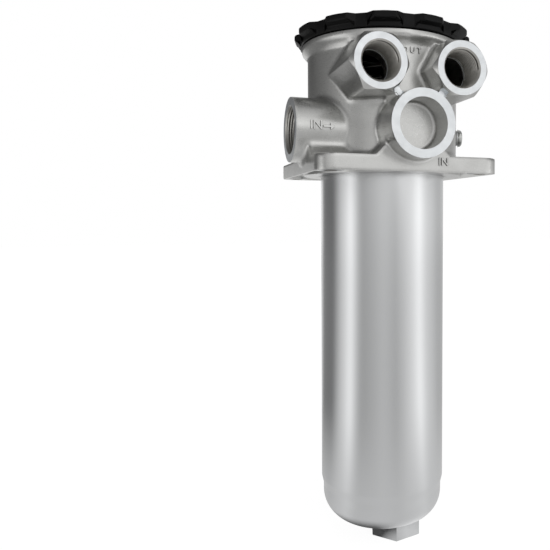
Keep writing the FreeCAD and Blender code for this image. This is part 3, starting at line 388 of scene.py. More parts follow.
def facing(axis, place, roll=0.0):
    """The move that takes +Z to axis and the origin to place, after a roll about +Z in degrees."""
    turn = Vector(UP).rotation_difference(Vector(axis)).to_matrix().to_4x4()
    return Matrix.Translation(place) @ turn @ Matrix.Rotation(math.radians(roll), 4, "Z")


def drum(bm, radius, length, place, axis=UP, segments=128, roll=0.0):
    """A capped cylinder or prism from place along axis."""
    move = facing(axis, place, roll) @ Matrix.Translation((0, 0, length / 2))
    bmesh.ops.create_cone(bm, cap_ends=True, segments=segments, radius1=radius, radius2=radius,
                          depth=length, matrix=move)


def block(bm, size, move):
    """A box of that size round the origin, put in its place by move."""
    bmesh.ops.create_cube(bm, size=1, matrix=move @ Matrix.Diagonal((*size, 1)))


def spun(bm, profile, place=(0, 0, 0), axis=UP, segments=192, closed=False):
    """A profile of (radius, height) points spun a full turn; closed joins its ends for a ring."""
    known = set(bm.verts)
    points = [bm.verts.new((radius, 0, height)) for radius, height in profile]
    lines = [bm.edges.new(pair) for pair in zip(points, points[1:])]
    if closed:
        lines.append(bm.edges.new((points[-1], points[0])))
    bmesh.ops.spin(bm, geom=points + lines, cent=(0, 0, 0), axis=UP, dvec=(0, 0, 0), angle=2 * math.pi,
                   steps=segments, use_merge=True, use_duplicate=False)
    made = [v for v in bm.verts if v not in known]
    bmesh.ops.remove_doubles(bm, verts=made, dist=0.0001)
    made = [v for v in bm.verts if v not in known]
    bmesh.ops.transform(bm, matrix=facing(axis, place), verts=made)


def make_object(name, bm, material=None):
    """An object in metres from a drawing in millimetres, with its faces turned outwards."""
    bmesh.ops.recalc_face_normals(bm, faces=bm.faces)
    bm.transform(Matrix.Scale(mm(1), 4))
    mesh = bpy.data.meshes.new(name)
    bm.to_mesh(mesh)
    bm.free()
    made = bpy.data.objects.new(name, mesh)
    bpy.context.scene.collection.objects.link(made)
    if material:
        mesh.materials.append(material)
    return made


# %% [markdown]
# Solids are joined and cut with Boolean modifiers, which work like the tools of a machine shop and keep
# the mesh closed. Afterwards a mesh has slivers and long faces, so it is mended before it is shaded.

# %% Small helpers for solids
def baked(shape):
    """Applies an object's modifiers, so that what is left is a plain mesh."""
    view = bpy.context.evaluated_depsgraph_get()
    mesh = bpy.data.meshes.new_from_object(shape.evaluated_get(view))
    shape.modifiers.clear()
    shape.data = mesh


def combine(shape, other, operation="DIFFERENCE"):
    """A Boolean with another solid; the faces that come from it keep its material."""
    step = shape.modifiers.new(other.name, "BOOLEAN")
    step.operation = operation
    step.solver = "MANIFOLD"
    step.material_mode = "TRANSFER"
    step.object = other


def turn_outwards(bm):
    """Turns every face outwards; a solid whose signed volume is negative was all inside out."""
    bmesh.ops.recalc_face_normals(bm, faces=bm.faces)
    if bm.calc_volume(signed=True) < 0:
        bmesh.ops.reverse_faces(bm, faces=bm.faces)


def mend(shape, grain=0.004):
    """Joins points closer than grain millimetres, drops slivers, and counts the edges left open."""
    bm = bmesh.new()
    bm.from_mesh(shape.data)
    bmesh.ops.remove_doubles(bm, verts=bm.verts, dist=mm(grain))
    bmesh.ops.dissolve_degenerate(bm, dist=mm(grain), edges=bm.edges)
    bmesh.ops.triangulate(bm, faces=[f for f in bm.faces if len(f.verts) > 4])
    bmesh.ops.remove_doubles(bm, verts=bm.verts, dist=mm(grain))
    turn_outwards(bm)
    loose = sum(1 for e in bm.edges if not e.is_manifold)
    volume = round(bm.calc_volume() * 1e6, 1)
    print(shape.name, "mended, open edges", loose, "volume", volume, "cm3")
    bm.to_mesh(shape.data)
    bm.free()


def soften(shape, angle=35.0):
    """Smooth shading that leaves edges sharper than the angle crisp."""
    shape.data.shade_smooth()
    shape.data.set_sharp_from_angle(angle=math.radians(angle))


# %% [markdown]
# The head is one aluminium casting: a round body on a square flange, two hexagonal outlet bosses, two
# round inlet bosses on pedestals, thin webs and a flared rim. In a casting no two walls meet in a sharp
# corner, because sharp corners crack as the metal shrinks. Drawing every blend by hand would take an edge
# list for each seam. Instead the rough solids are simply laid into each other here, and the next cell
# melts them into one skin.

# %% The casting's rough solids
BODY_RADIUS = 71.5
RIM_RADIUS = 77.0
RIM_FLARE = (110.5, 116.0)
FOOT_RADIUS = 75.5
FOOT_TOP = 18.0
HEAD_HEIGHT = 121.0
FLANGE = (168.0, 162.0, 14.0)
FLANGE_CORNER = 14.0
FLANGE_RIM = 8.0
POCKET_DEPTH = 4.0
BOLT_PLACES = [(x, y) for x in (-70.0, 70.0) for y in (-67.0, 67.0)]
BOLT_PAD_RADIUS = 11.0
PORT_ROW = 38.2
OUT_PLACES = [(-36.3, -98.3, 86.3), (36.3, -98.3, 86.3)]
OUT_CORNER_RADIUS = 46.0 / math.sqrt(3)
IN_PLACE = (-95.2, -22.5, PORT_ROW)
BLIND_PLACE = (0.0, -101.0, PORT_ROW)
IN_BOSS_RADIUS = 28.8
PEDESTAL_HALF = 26.8
PEDESTAL_FLARE = 8.0
RIB_FACE = -92.0
RIB_WIDTH = 6.0
GAUGE_TURN = math.radians(-15)
GAUGE_PAD_RADIUS = 8.5
GAUGE_PAD_REACH = 72.5
STOCK = 1.5


def flange_plate(bm):
    """The flange with rounded corners and the shallow pocket under it, with stock left below."""
    wide, deep, thick = FLANGE
    block(bm, (wide, deep, thick + STOCK), Matrix.Translation((0, 0, (thick - STOCK) / 2)))
    upright = [e for e in bm.edges if abs(e.verts[0].co.z - e.verts[1].co.z) > thick / 2]
    bmesh.ops.bevel(bm, geom=upright, offset=FLANGE_CORNER, segments=16, profile=0.5, affect="EDGES",
                    material=-1)
    bottom = [f for f in bm.faces if f.normal.z < -0.9]
    bmesh.ops.inset_region(bm, faces=bottom, thickness=FLANGE_RIM, use_even_offset=True)
    bmesh.ops.translate(bm, verts=bottom[0].verts, vec=(0, 0, POCKET_DEPTH + STOCK))
    drum(bm, BODY_RADIUS, POCKET_DEPTH + STOCK + 2, (0, 0, -STOCK))
    for x, y in BOLT_PLACES:
        drum(bm, BOLT_PAD_RADIUS, POCKET_DEPTH + STOCK + 2, (x, y, -STOCK), segments=48)


def pedestal(bm, front, move):
    """A web with a flared foot that carries a round boss; it faces -Y at front before the move."""
    foot = FLANGE[2]
    wide_foot = PEDESTAL_HALF + PEDESTAL_FLARE
    outline = [(PEDESTAL_HALF, PORT_ROW), (PEDESTAL_HALF, foot + PEDESTAL_FLARE), (wide_foot, foot),
               (wide_foot, foot - 2)]
    outline += [(-x, z) for x, z in reversed(outline)]
    corners = [bm.verts.new((x, -front, z)) for x, z in outline]
    face = bm.faces.new(corners)
    grown = bmesh.ops.extrude_face_region(bm, geom=[face])["geom"]
    far = [g for g in grown if isinstance(g, bmesh.types.BMVert)]
    bmesh.ops.translate(bm, verts=far, vec=(0, front, 0))
    bmesh.ops.transform(bm, matrix=move, verts=corners + far)


def rib_run(place):
    """The way from an outlet's centre down to the blind inlet's, along which a rib lies."""
    return Vector((BLIND_PLACE[0] - place[0], 0, BLIND_PLACE[2] - place[2]))


bm = bmesh.new()
flange_plate(bm)
spun(bm, [(0, -STOCK), (FOOT_RADIUS, -STOCK), (FOOT_RADIUS, FLANGE[2]), (BODY_RADIUS, FOOT_TOP),
          (BODY_RADIUS, RIM_FLARE[0]), (RIM_RADIUS, RIM_FLARE[1]), (RIM_RADIUS, HEAD_HEIGHT + STOCK),
          (0, HEAD_HEIGHT + STOCK)])
pedestal(bm, FLANGE[1] / 2, Matrix.Identity(4))
side_turn = Matrix.Translation((0, IN_PLACE[1], 0)) @ Matrix.Rotation(math.radians(-90), 4, "Z")
pedestal(bm, FLANGE[0] / 2, side_turn)
drum(bm, IN_BOSS_RADIUS, STOCK - IN_PLACE[0], Vector(IN_PLACE) + Vector((-STOCK, 0, 0)), RIGHT)
drum(bm, IN_BOSS_RADIUS, STOCK - BLIND_PLACE[1], Vector(BLIND_PLACE) + Vector((0, -STOCK, 0)), BACK)
for place in OUT_PLACES:
    start = Vector(place) + Vector((0, -STOCK, 0))
    drum(bm, OUT_CORNER_RADIUS, STOCK - place[1], start, BACK, segments=6, roll=30)
    run = rib_run(place)
    lie = facing(run.normalized(), (place[0], (RIB_FACE - STOCK) / 2, place[2]))
    half_way = Matrix.Translation((0, 0, run.length / 2))
    block(bm, (RIB_WIDTH, STOCK - RIB_FACE, run.length), lie @ half_way)
gauge_way = Vector((math.cos(GAUGE_TURN), math.sin(GAUGE_TURN), 0))
drum(bm, GAUGE_PAD_RADIUS, GAUGE_PAD_REACH, (0, 0, PORT_ROW), gauge_way, segments=64)
blank = make_object("head_casting", bm)
print("rough solids:", len(blank.data.polygons), "faces")

# %% [markdown]
# A voxel remesh wraps one skin round all the solids. Pushing that skin 1.8 mm out, wrapping it again and
# pulling it back leaves the outer edges where they were, but fills every inner corner with a
# 1.8 mm fillet, just as a caster's wax would. Two smoothing passes then take the edges to the radius of
# about 1 mm that blasting leaves.

# %% Melt the solids into one casting
FIRST_VOXEL = 1.0
LAST_VOXEL = 1.2
FILLET = 1.8


def remesh(shape, voxel):
    skin = shape.modifiers.new("skin", "REMESH")
    skin.mode = "VOXEL"
    skin.voxel_size = mm(voxel)


def push(shape, distance):
    move = shape.modifiers.new("push", "DISPLACE")
    move.strength = mm(distance)
    move.mid_level = 0.0


remesh(blank, FIRST_VOXEL)
push(blank, FILLET)
remesh(blank, FIRST_VOXEL)
push(blank, -FILLET)
remesh(blank, LAST_VOXEL)
smooth = blank.modifiers.new("blast", "SMOOTH")
smooth.factor = 0.5
smooth.iterations = 2
baked(blank)
blank.data.materials.append(casting)
print("casting:", len(blank.data.polygons), "faces")

# %% [markdown]
# Then the casting goes to the machine shop, and so does the mesh: tools of closed solids are subtracted
# with a Boolean modifier. The faces that a tool leaves take the tool's material, so turned faces become
# bright and cored hollows stay cast. Each faced boss has its own finish, because the turning marks run
# round its own axis. All bores share one, with painted shade between the threads.

# %% Finishes of the machined faces
BORE_COLOUR = "#c4c2bd"
BORE_SHADE = "#2b2926"
BORE_SHADE_REACH = 1.6

turned_outlets = [turned_aluminium(f"turned_outlet_face_{number}", place, FRONT)
                  for number, place in enumerate(OUT_PLACES)]
turned_blind = turned_aluminium("turned_blind_face", BLIND_PLACE, FRONT)
turned_inlet = turned_aluminium("turned_inlet_face", IN_PLACE, LEFT)
turned_bore = turned_aluminium("turned_bore", (0, 0, 0), UP, BORE_COLOUR, 0.36, 0.5)
bore_tree = turned_bore.node_tree
# Painted shade in the bores, darkest between the threads.
bore_shaded_colour = painted_hollow_shade(bore_tree, linear(BORE_COLOUR), BORE_SHADE_REACH, BORE_SHADE, 0.6)
bore_tree.links.new(bore_shaded_colour, bore_tree.nodes["Principled BSDF"].inputs["Base Color"])
print("finishes of the ports:", [face.name for face in turned_outlets + [turned_blind, turned_inlet]])

# %% [markdown]
# Six tools work along the axis. From below they are the bore that takes the bowl, a cored chamber, the
# turned seat of the element in the partition, a second cored chamber, and the mouth with the rim's top
# face and chamfer. The sixth takes the stock off the underside. Profiles are lists of (radius, height).

# %% Tools down the head's axis
BOWL_BORE = [(0, -5), (59.55, -5), (59.55, 10), (57, 10), (57, 13.5), (0, 13.5)]
LOWER_CORE = [(0, 12.9), (64, 12.9), (64, 60), (0, 60)]
ELEMENT_SEAT = [(0, 59), (46.5, 59), (46.5, 63), (51, 63), (51, 69), (0, 69)]
UPPER_CORE = [(0, 68), (64, 68), (64, 105), (0, 105)]
MOUTH_AND_RIM = [(0, 104), (66, 104), (66, 121), (76.2, 121), (78.2, 119), (90, 119), (90, 126), (0, 126)]

tools = bpy.data.collections.new("tools")
bpy.context.scene.collection.children.link(tools)


def tool(name, material, draw, *shape, **options):
    """A closed solid to cut with; draw is drum, block or spun, and the rest is what it is given."""
    bm = bmesh.new()
    draw(bm, *shape, **options)
    made = make_object(name, bm, material)
    bpy.context.scene.collection.objects.unlink(made)
    tools.objects.link(made)


tool("bowl_bore_tool", turned_bore, spun, BOWL_BORE)
tool("lower_core", casting, spun, LOWER_CORE)
tool("seat_tool", turned_bore, spun, ELEMENT_SEAT)
tool("upper_core", casting, spun, UPPER_CORE)
tool("rim_tool", turned_bore, spun, MOUTH_AND_RIM)
tool("underside_tool", casting, drum, 150, 5, (0, 0, -5))

# %% [markdown]
# A port is machined from its boss's end: a facing cut takes the stock off, then come a countersink, the
# bore for the thread and a narrower passage. The corners of the outlets' hexagons are turned back in a
# cone, which leaves a round land, and a short flat is milled on each rib below them.

# %% Tools of the ports and ribs
FACING_CUT = 4
THREAD_DEPTH = 28
OUT_THREAD_RADIUS = 15.9
IN_THREAD_RADIUS = 20.2
IN_MOUTH_RADIUS = 21.4
OUT_LAND_RADIUS = 22.7
OUT_CHAMFER_SLOPE = 0.772
OUT_CHAMFER_DEPTH = 6.0
RIB_GAP_MIDDLE = 27.4
RIB_GAP = (6.4, 8.0, 6.8)


def port_tools(name, place, inward, face, facing_radius, mouth, thread, passage, depth):
    """The facing cut over a boss, and its countersink, thread bore and passage."""
    start = Vector(place) - Vector(inward) * FACING_CUT
    tool(name + "_facing", face, drum, facing_radius, FACING_CUT, start, inward)
    profile = [(0, -2), (mouth + 2, -2), (thread, mouth - thread), (thread, THREAD_DEPTH),
               (passage, THREAD_DEPTH), (passage, depth), (0, depth)]
    tool(name + "_bore", turned_bore, spun, profile, place, inward)


corner_width = OUT_LAND_RADIUS + OUT_CHAMFER_DEPTH * OUT_CHAMFER_SLOPE
corner_cone = [(OUT_LAND_RADIUS - 2 * OUT_CHAMFER_SLOPE, -2), (corner_width, OUT_CHAMFER_DEPTH),
               (corner_width, -2)]
for place, face in zip(OUT_PLACES, turned_outlets):
    port_tools("outlet", place, BACK, face, facing_radius=30, mouth=17.2, thread=OUT_THREAD_RADIUS,
               passage=15.1, depth=98)
    tool("out_corner_tool", casting, spun, corner_cone, place, BACK, closed=True)
for place, face in zip(OUT_PLACES, turned_outlets):
    run = rib_run(place)
    middle = Vector(place) + run.normalized() * RIB_GAP_MIDDLE
    lie = facing(run.normalized(), (middle.x, RIB_FACE - RIB_GAP[1] / 2, middle.z))
    tool("rib_facing_tool", face, block, RIB_GAP, lie)
port_tools("inlet", IN_PLACE, RIGHT, turned_inlet, facing_radius=60, mouth=IN_MOUTH_RADIUS,
           thread=IN_THREAD_RADIUS, passage=19.4, depth=95)

# %% [markdown]
# The blind inlet was faced but never drilled, so behind its bright face is the shallow cored recess with
# the rounded floor that the pattern left. The bolt holes, the gauge port and the grooves of the two round
# seals are plain cuts.

# %% Tools of the blind inlet, the small holes and the grooves
BLIND_RECESS = [(0, 0), (IN_MOUTH_RADIUS, 0), (IN_MOUTH_RADIUS, 24.2), (21.1, 25.4), (20.4, 26.3),
                (19.4, 26.8), (18.2, 27), (0, 27)]
COVER_GROOVE = [(68.64, 118.35), (71.36, 118.35), (71.36, 123), (68.64, 123)]
BOWL_GROOVE = [(58, 3.65), (62.15, 3.65), (62.15, 6.35), (58, 6.35)]
RECESS_START = 3
BOLT_HOLE_RADIUS = 5.5
GAUGE_HOLE_RADIUS = 4.8

face_start = Vector(BLIND_PLACE) + Vector((0, -FACING_CUT, 0))
recess_start = Vector(BLIND_PLACE) + Vector((0, -RECESS_START, 0))
tool("blind_face_tool", turned_blind, drum, 60, FACING_CUT, face_start, BACK)
tool("blind_recess_tool", casting, spun, BLIND_RECESS, recess_start, BACK)
for x, y in BOLT_PLACES:
    tool("bolt_tool", turned_bore, drum, BOLT_HOLE_RADIUS, 30, (x, y, -5), segments=48)
gauge_start = gauge_way * 50 + Vector((0, 0, PORT_ROW))
tool("gauge_tool", turned_bore, drum, GAUGE_HOLE_RADIUS, 30, gauge_start, gauge_way, segments=48)
tool("cover_groove_tool", turned_bore, spun, COVER_GROOVE, closed=True)
tool("bowl_groove_tool", turned_bore, spun, BOWL_GROOVE, closed=True)

# %% [markdown]
# The cuts are carried out one after another when the modifiers are baked. The shoulder at the end of an
# outlet's thread faces the lens squarely, as the land does, so it is given the land's bright finish as a
# painted highlight.

# %% Machine the casting
SHOULDER_DEPTHS = (25, 30)
SHOULDER_RADIUS = 17

for cutter in tools.objects:
    combine(blank, cutter)
baked(blank)
for cutter in list(tools.objects):
    bpy.data.objects.remove(cutter)
bpy.data.collections.remove(tools)
mend(blank, 0.001)
# The shoulders take the land's brighter finish as a painted highlight.
shoulder_highlights = {blank.data.materials.find(face.name): place for face, place in zip(turned_outlets, OUT_PLACES)}
for polygon in blank.data.polygons:
    for highlight_index, place in shoulder_highlights.items():
        off = polygon.center * 1000 - Vector(place)
        at_depth = SHOULDER_DEPTHS[0] < off.y < SHOULDER_DEPTHS[1]
        if polygon.normal.y < -0.9 and at_depth and math.hypot(off.x, off.z) < SHOULDER_RADIUS:
            polygon.material_index = highlight_index
soften(blank)
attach(blank, "filter")
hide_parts("filter_head")
blank.data.calc_loop_triangles()
print("machined casting:", len(blank.data.loop_triangles), "triangles,", len(blank.data.polygons), "faces")

# %% [markdown]
# The ports carry pipe threads of 11 turns to the inch. On the real head a tap cuts them, here a triangle
# is wound along each bore: bmesh's spin also moves along its axis when it is given a step, which is all
# that a helix needs. The ridge's foot is sunk into the bore's wall, so no gap shows.

# %% Threads of the ports
THREAD_PITCH = 25.4 / 11
THREAD_HEIGHT = 0.75
THREAD_SUNK = 0.15
THREAD_HALF_WIDTH = 0.48 * THREAD_PITCH
THREAD_REACH = (2.2, 26.6)
STEPS_A_TURN = 48


def wind(bm, geometry, turns, rise):
    """Winds drawn points and lines about +Z, climbing rise over the turns, and closes both ends."""
    steps = round(turns * STEPS_A_TURN)
    bmesh.ops.spin(bm, geom=geometry, cent=(0, 0, 0), axis=UP, dvec=(0, 0, rise / steps),
                   angle=2 * math.pi * turns, steps=steps, use_merge=False, use_duplicate=False)
    bmesh.ops.holes_fill(bm, edges=bm.edges, sides=0)


def port_thread(name, wall, place, inward):
    """The helical ridge between the cuts of a thread; wall is the bore's radius."""
    start, end = THREAD_REACH
    foot = wall + THREAD_SUNK
    profile = [(foot, start - THREAD_HALF_WIDTH), (wall - THREAD_HEIGHT, start),
               (foot, start + THREAD_HALF_WIDTH)]
    bm = bmesh.new()
    points = [bm.verts.new((radius, 0, height)) for radius, height in profile]
    lines = [bm.edges.new(pair) for pair in zip(points, points[1:] + points[:1])]
    wind(bm, points + lines, (end - start) / THREAD_PITCH, end - start)
    bmesh.ops.transform(bm, matrix=facing(inward, place), verts=bm.verts)
    ridge = make_object(name, bm, turned_bore)
    soften(ridge, 50)
    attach(ridge, "filter")


port_thread("outlet_thread_left", OUT_THREAD_RADIUS, OUT_PLACES[0], BACK)
port_thread("outlet_thread_right", OUT_THREAD_RADIUS, OUT_PLACES[1], BACK)
port_thread("inlet_thread", IN_THREAD_RADIUS, IN_PLACE, RIGHT)
wound = [shape.name for shape in bpy.data.objects if "thread" in shape.name]
print("threads wound:", wound, "pitch", round(THREAD_PITCH, 3), "mm")

# %% [markdown]
# The marks beside the ports stand proud of the casting by 0.9 mm, because the pattern shop screws
# raised letters to the pattern. Blender's own typeface gives their shape, the arrow is drawn, and each
# word is laid on the surface that carries it: flat, round the body, or round the inlet boss.

# %% Cast marks
LETTER_PROUD = 0.9
LETTER_SUNK = 1.2
CAPITAL_SHARE = 0.69
HALF_THICKNESS = 0.5
ARROW_HALF_SHAFT = 0.7
ARROW_HEAD = (3.6, 2.9)
OUT_MARK_TURN = math.radians(0.9)
OUT_MARK_HEIGHT = 104.4
FRONT_MARK_PLACE = (27.0, 8.6)
SIDE_MARK_MIDDLE = -73.5
SIDE_MARK_RISE = 1.2


def word(text, height, spacing=1.0):
    """A word as a drawing in millimetres: x along it, z up, and y from its sunk back to its face."""
    curve = bpy.data.curves.new(text, "FONT")
    curve.body = text
    curve.size = height / CAPITAL_SHARE
    curve.extrude = HALF_THICKNESS
    curve.space_character = spacing
    curve.align_x = "CENTER"
    curve.align_y = "CENTER"
    curve.resolution_u = 6
    holder = bpy.data.objects.new(text, curve)
    bpy.context.scene.collection.objects.link(holder)
    view = bpy.context.evaluated_depsgraph_get()
    mesh = bpy.data.meshes.new_from_object(holder.evaluated_get(view))
    bm = bmesh.new()
    bm.from_mesh(mesh)
    bmesh.ops.remove_doubles(bm, verts=bm.verts, dist=0.001)
    bmesh.ops.transform(bm, matrix=Matrix.Rotation(math.radians(90), 4, "X"), verts=bm.verts)
    bpy.data.objects.remove(holder)
    return bm


def arrow(bm, tail, tip, height):
    """Adds an arrow that points along +X from tail to tip."""
    head, wing = ARROW_HEAD
    outline = [(tail, -ARROW_HALF_SHAFT), (tip - head, -ARROW_HALF_SHAFT), (tip - head, -wing), (tip, 0),
               (tip - head, wing), (tip - head, ARROW_HALF_SHAFT), (tail, ARROW_HALF_SHAFT)]
    corners = [bm.verts.new((x, HALF_THICKNESS, z + height)) for x, z in outline]
    face = bm.faces.new(corners)
    grown = bmesh.ops.extrude_face_region(bm, geom=[face])["geom"]
    front = [g for g in grown if isinstance(g, bmesh.types.BMVert)]
    bmesh.ops.translate(bm, verts=front, vec=(0, -2 * HALF_THICKNESS, 0))


def cast_mark(name, bm, laid):
    """Lays a drawn word on its surface; laid turns along, up and proud into a place."""
    for v in bm.verts:
        proud = LETTER_PROUD if v.co.y < 0 else -LETTER_SUNK
        v.co = laid(v.co.x, v.co.z, proud)
    mark = make_object(name, bm, casting)
    soften(mark)
    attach(mark, "filter")


def round_the_body(along, up, proud):
    angle = along / BODY_RADIUS + OUT_MARK_TURN
    reach = BODY_RADIUS + proud
    return Vector((reach * math.sin(angle), -reach * math.cos(angle), up + OUT_MARK_HEIGHT))


def round_the_inlet_boss(along, up, proud):
    angle = (up + SIDE_MARK_RISE) / IN_BOSS_RADIUS
    reach = IN_BOSS_RADIUS + proud
    return Vector((along + SIDE_MARK_MIDDLE, IN_PLACE[1] - reach * math.cos(angle),
                   PORT_ROW + reach * math.sin(angle)))


def on_the_flange_front(along, up, proud):
    return Vector((along + FRONT_MARK_PLACE[0], -FLANGE[1] / 2 - proud, up + FRONT_MARK_PLACE[1]))


cast_mark("outlet_mark", word("OUT", 5.0, 1.45), round_the_body)
cast_mark("inlet_mark_front", word("IN", 6.6), on_the_flange_front)
bm = word("IN", 7.6)
bmesh.ops.translate(bm, verts=bm.verts, vec=(-4.6, 0, 0))
arrow(bm, tail=1.6, tip=11.6, height=-0.6)
cast_mark("inlet_mark_side", bm, round_the_inlet_boss)

# %% [markdown]
# The springs are wound from round wire and their ends are ground flat. A circle is wound in the same
# way as the threads, a little longer than the spring, and two planes then cut it to length.

# %% Springs
def coil(name, node, mean_radius, wire, bottom, length, turns, centre):
    """A compression spring of round wire in place of the plain one of the CAD model."""
    pitch = length / turns
    bm = bmesh.new()
    start = Matrix.Translation((mean_radius, 0, -wire)) @ Matrix.Rotation(math.radians(90), 4, "X")
    bmesh.ops.create_circle(bm, segments=16, radius=wire / 2, matrix=start)
    wind(bm, bm.verts[:] + bm.edges[:], (length + 2 * wire) / pitch, length + 2 * wire)
    for height, outward in [(0, -1), (length, 1)]:
        everything = bm.verts[:] + bm.edges[:] + bm.faces[:]
        bmesh.ops.bisect_plane(bm, geom=everything, dist=0.0001, plane_co=(0, 0, height),
                               plane_no=(0, 0, outward), clear_outer=True)
        bmesh.ops.holes_fill(bm, edges=bm.edges, sides=0)
    bmesh.ops.translate(bm, verts=bm.verts, vec=(centre, 0, bottom))
    spring = make_object(name, bm, spring_wire)
    soften(spring, 40)
    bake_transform(spring)
    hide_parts(node)
    print(name, "faces", len(spring.data.polygons), "box", [round(v * 1000, 1) for v in spring.dimensions])


coil("hold_down_coil", "hold_down_spring", mean_radius=36, wire=3.2, bottom=68, length=57.2, turns=4.5,
     centre=0)
coil("bypass_coil", "bypass_spring", mean_radius=21, wire=2.0, bottom=-260, length=18, turns=3.5,
     centre=0)
coil("outlet_coil", "outlet_spring", mean_radius=6.2, wire=1.2, bottom=-347.5, length=12, turns=3.5,
     centre=14)


# %% [markdown]
# Machined and moulded pieces have small broken edges that catch the light. Their CAD solids are exact
# but sharp, so a copy is taken, its flat triangles are joined to whole faces, and every edge sharper than
# 30 degrees gets a narrow bevel: wider on plastic, narrow and crisp on steel.

# %% Broken edges
WELD = 0.002


def eased(name, node, width, body, segments=2, sharp=30.0):
    """A copy of a CAD node with its sharp edges broken by width, in place of the node."""
    source = nodes[node]
    bm = bmesh.new()
    bm.from_mesh(source.data)
    bmesh.ops.remove_doubles(bm, verts=bm.verts, dist=mm(WELD))
    bmesh.ops.dissolve_limit(bm, angle_limit=math.radians(0.3), verts=bm.verts, edges=bm.edges)
    bmesh.ops.recalc_face_normals(bm, faces=bm.faces)
    before = abs(bm.calc_volume())
    edges = [e for e in bm.edges if e.is_manifold and e.calc_face_angle() > math.radians(sharp)]
    shortest = min(e.calc_length() for e in edges)
    bmesh.ops.bevel(bm, geom=edges, offset=mm(width), offset_type="OFFSET", segments=segments, profile=0.5,
                    affect="EDGES", clamp_overlap=False, material=-1)
    bmesh.ops.remove_doubles(bm, verts=bm.verts, dist=mm(WELD))
    turn_outwards(bm)
    loose = sum(1 for e in bm.edges if not e.is_manifold)
    print(name, "faces", len(bm.faces), "volume kept", round(abs(bm.calc_volume()) / before, 4),
          "open edges", loose, "shortest edge", round(shortest * 1000, 3))
    mesh = bpy.data.meshes.new(name)
    bm.to_mesh(mesh)
    bm.free()
    piece = bpy.data.objects.new(name, mesh)
    bpy.context.scene.collection.objects.link(piece)
    mesh.materials.append(finishes[node])
    soften(piece, 35)
    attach(piece, body)
    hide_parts(node)


eased("cover_moulding", "cover", 0.8, "cover", 3)
eased("gauge_port_plug", "gauge_plug", 0.1, "filter", 1)
eased("element_top_end_cap", "element_top_cap", 0.5, "filter")
eased("element_bottom_end_cap", "element_bottom_cap", 0.4, "filter")
eased("outlet_manifold_block", "outlet_manifold", 0.5, "filter")
eased("lifting_handle", "element_handle", 0.4, "filter")
eased("outlet_valve_poppet", "outlet_poppet", 0.2, "outlet_valve")
eased("outlet_valve_guide", "outlet_guide_plate", 0.2, "filter")

# %% [markdown]
# The hexagon under the bowl was milled from round bar, and its lower edges were broken with a straight
# chamfer that follows the flats. The CAD solid has a turned chamfer there and stands ten degrees further
# round than the photograph shows, so the prism is cut anew, with the same neck, seat and chamber inside.

# %% The outlet fitting's hexagon
HEX_PLACE = (14.0, 0.0, -352.5)
HEX_ACROSS_FLATS = 46.0
HEX_HEIGHT = 20.5
HEX_FIRST_CORNER = 12.0
HEX_CHAMFER = 0.9
HEX_EDGE = 0.25
NECK = [(0, 10), (15, 10), (15, 34.5), (14.5, 35), (0, 35)]
RING_GROOVE = [(16, 1.5), (17, 1.5), (17, 3.0), (16, 3.0)]
CHAMBER = [(0, -1), (16.6, -1), (16, 0.6)] + RING_GROOVE + [(16, 19.5), (9, 19.5), (9, 36), (0, 36)]

bm = bmesh.new()
drum(bm, HEX_ACROSS_FLATS / math.sqrt(3), HEX_HEIGHT, HEX_PLACE, segments=6, roll=HEX_FIRST_CORNER - 30)
low = HEX_PLACE[2] + 0.5
lowest = [e for e in bm.edges if e.verts[0].co.z < low and e.verts[1].co.z < low]
bmesh.ops.bevel(bm, geom=lowest, offset=HEX_CHAMFER, segments=1, profile=0.5, affect="EDGES", material=-1)
others = [e for e in bm.edges if e.calc_face_angle() > math.radians(50)]
bmesh.ops.bevel(bm, geom=others, offset=HEX_EDGE, segments=2, profile=0.5, affect="EDGES", material=-1)
hexagon = make_object("outlet_hexagon", bm, bright_plating)
bm = bmesh.new()
spun(bm, NECK, HEX_PLACE)
neck = make_object("neck_tool", bm, bright_plating)
bm = bmesh.new()
spun(bm, CHAMBER, HEX_PLACE)
chamber = make_object("chamber_tool", bm, bright_plating)
combine(hexagon, neck, "UNION")
combine(hexagon, chamber)
baked(hexagon)
for cutter in (neck, chamber):
    bpy.data.objects.remove(cutter)
mend(hexagon)
soften(hexagon)
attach(hexagon, "filter")
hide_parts("outlet_valve_body")
print("outlet hexagon:", len(hexagon.data.polygons), "faces")

# %% [markdown]
# Bright metal is photographed in a grey room: what it mirrors is what gives it shape. The room here is
# a band of greys, given as (compass direction in degrees, brightness) round the object's axis: dim on the
# left, a light wall on the right and white behind the object, where the camera looks. One list is the
# room near eye level, one the room above it, and a short one the painted shadow on the floor right under
# the bowl.

# %% The room's band of greys
ROOM_BRIGHTEST = 1.75
LOW_GREYS = [(-180, 1.0), (-163, 1.1), (-150, 1.0), (-138, 0.24), (-100, 0.14), (-90, 0.5), (-80, 0.88),
             (-70, 1.1), (-60, 1.65), (-54, 1.45), (-47, 0.85), (-38, 0.46), (-15, 0.62), (0, 0.76),
             (11, 0.72), (24, 0.56), (34, 0.74), (46, 0.95), (58, 1.2), (66, 1.5), (72, 1.75), (78, 1.4),
             (88, 1.02), (104, 0.88), (122, 0.64), (140, 0.6), (156, 0.68), (180, 0.85)]
HIGH_GREYS = [(-180, 0.8), (-168, 0.45), (-155, 0.16), (-138, 0.1), (-100, 0.2), (-60, 0.22), (-42, 0.35),
              (-22, 0.68), (0, 0.8), (20, 0.98), (35, 1.55), (42, 1.3), (50, 0.8), (62, 0.8), (80, 0.6),
              (106, 0.26), (135, 0.34), (158, 0.7), (180, 0.85)]
UNDER_BOWL_SHADOW_GREYS = [(-180, 0.5), (-100, 0.06), (-10, 0.06), (25, 0.8), (60, 1.2), (120, 1.0), (180, 0.5)]


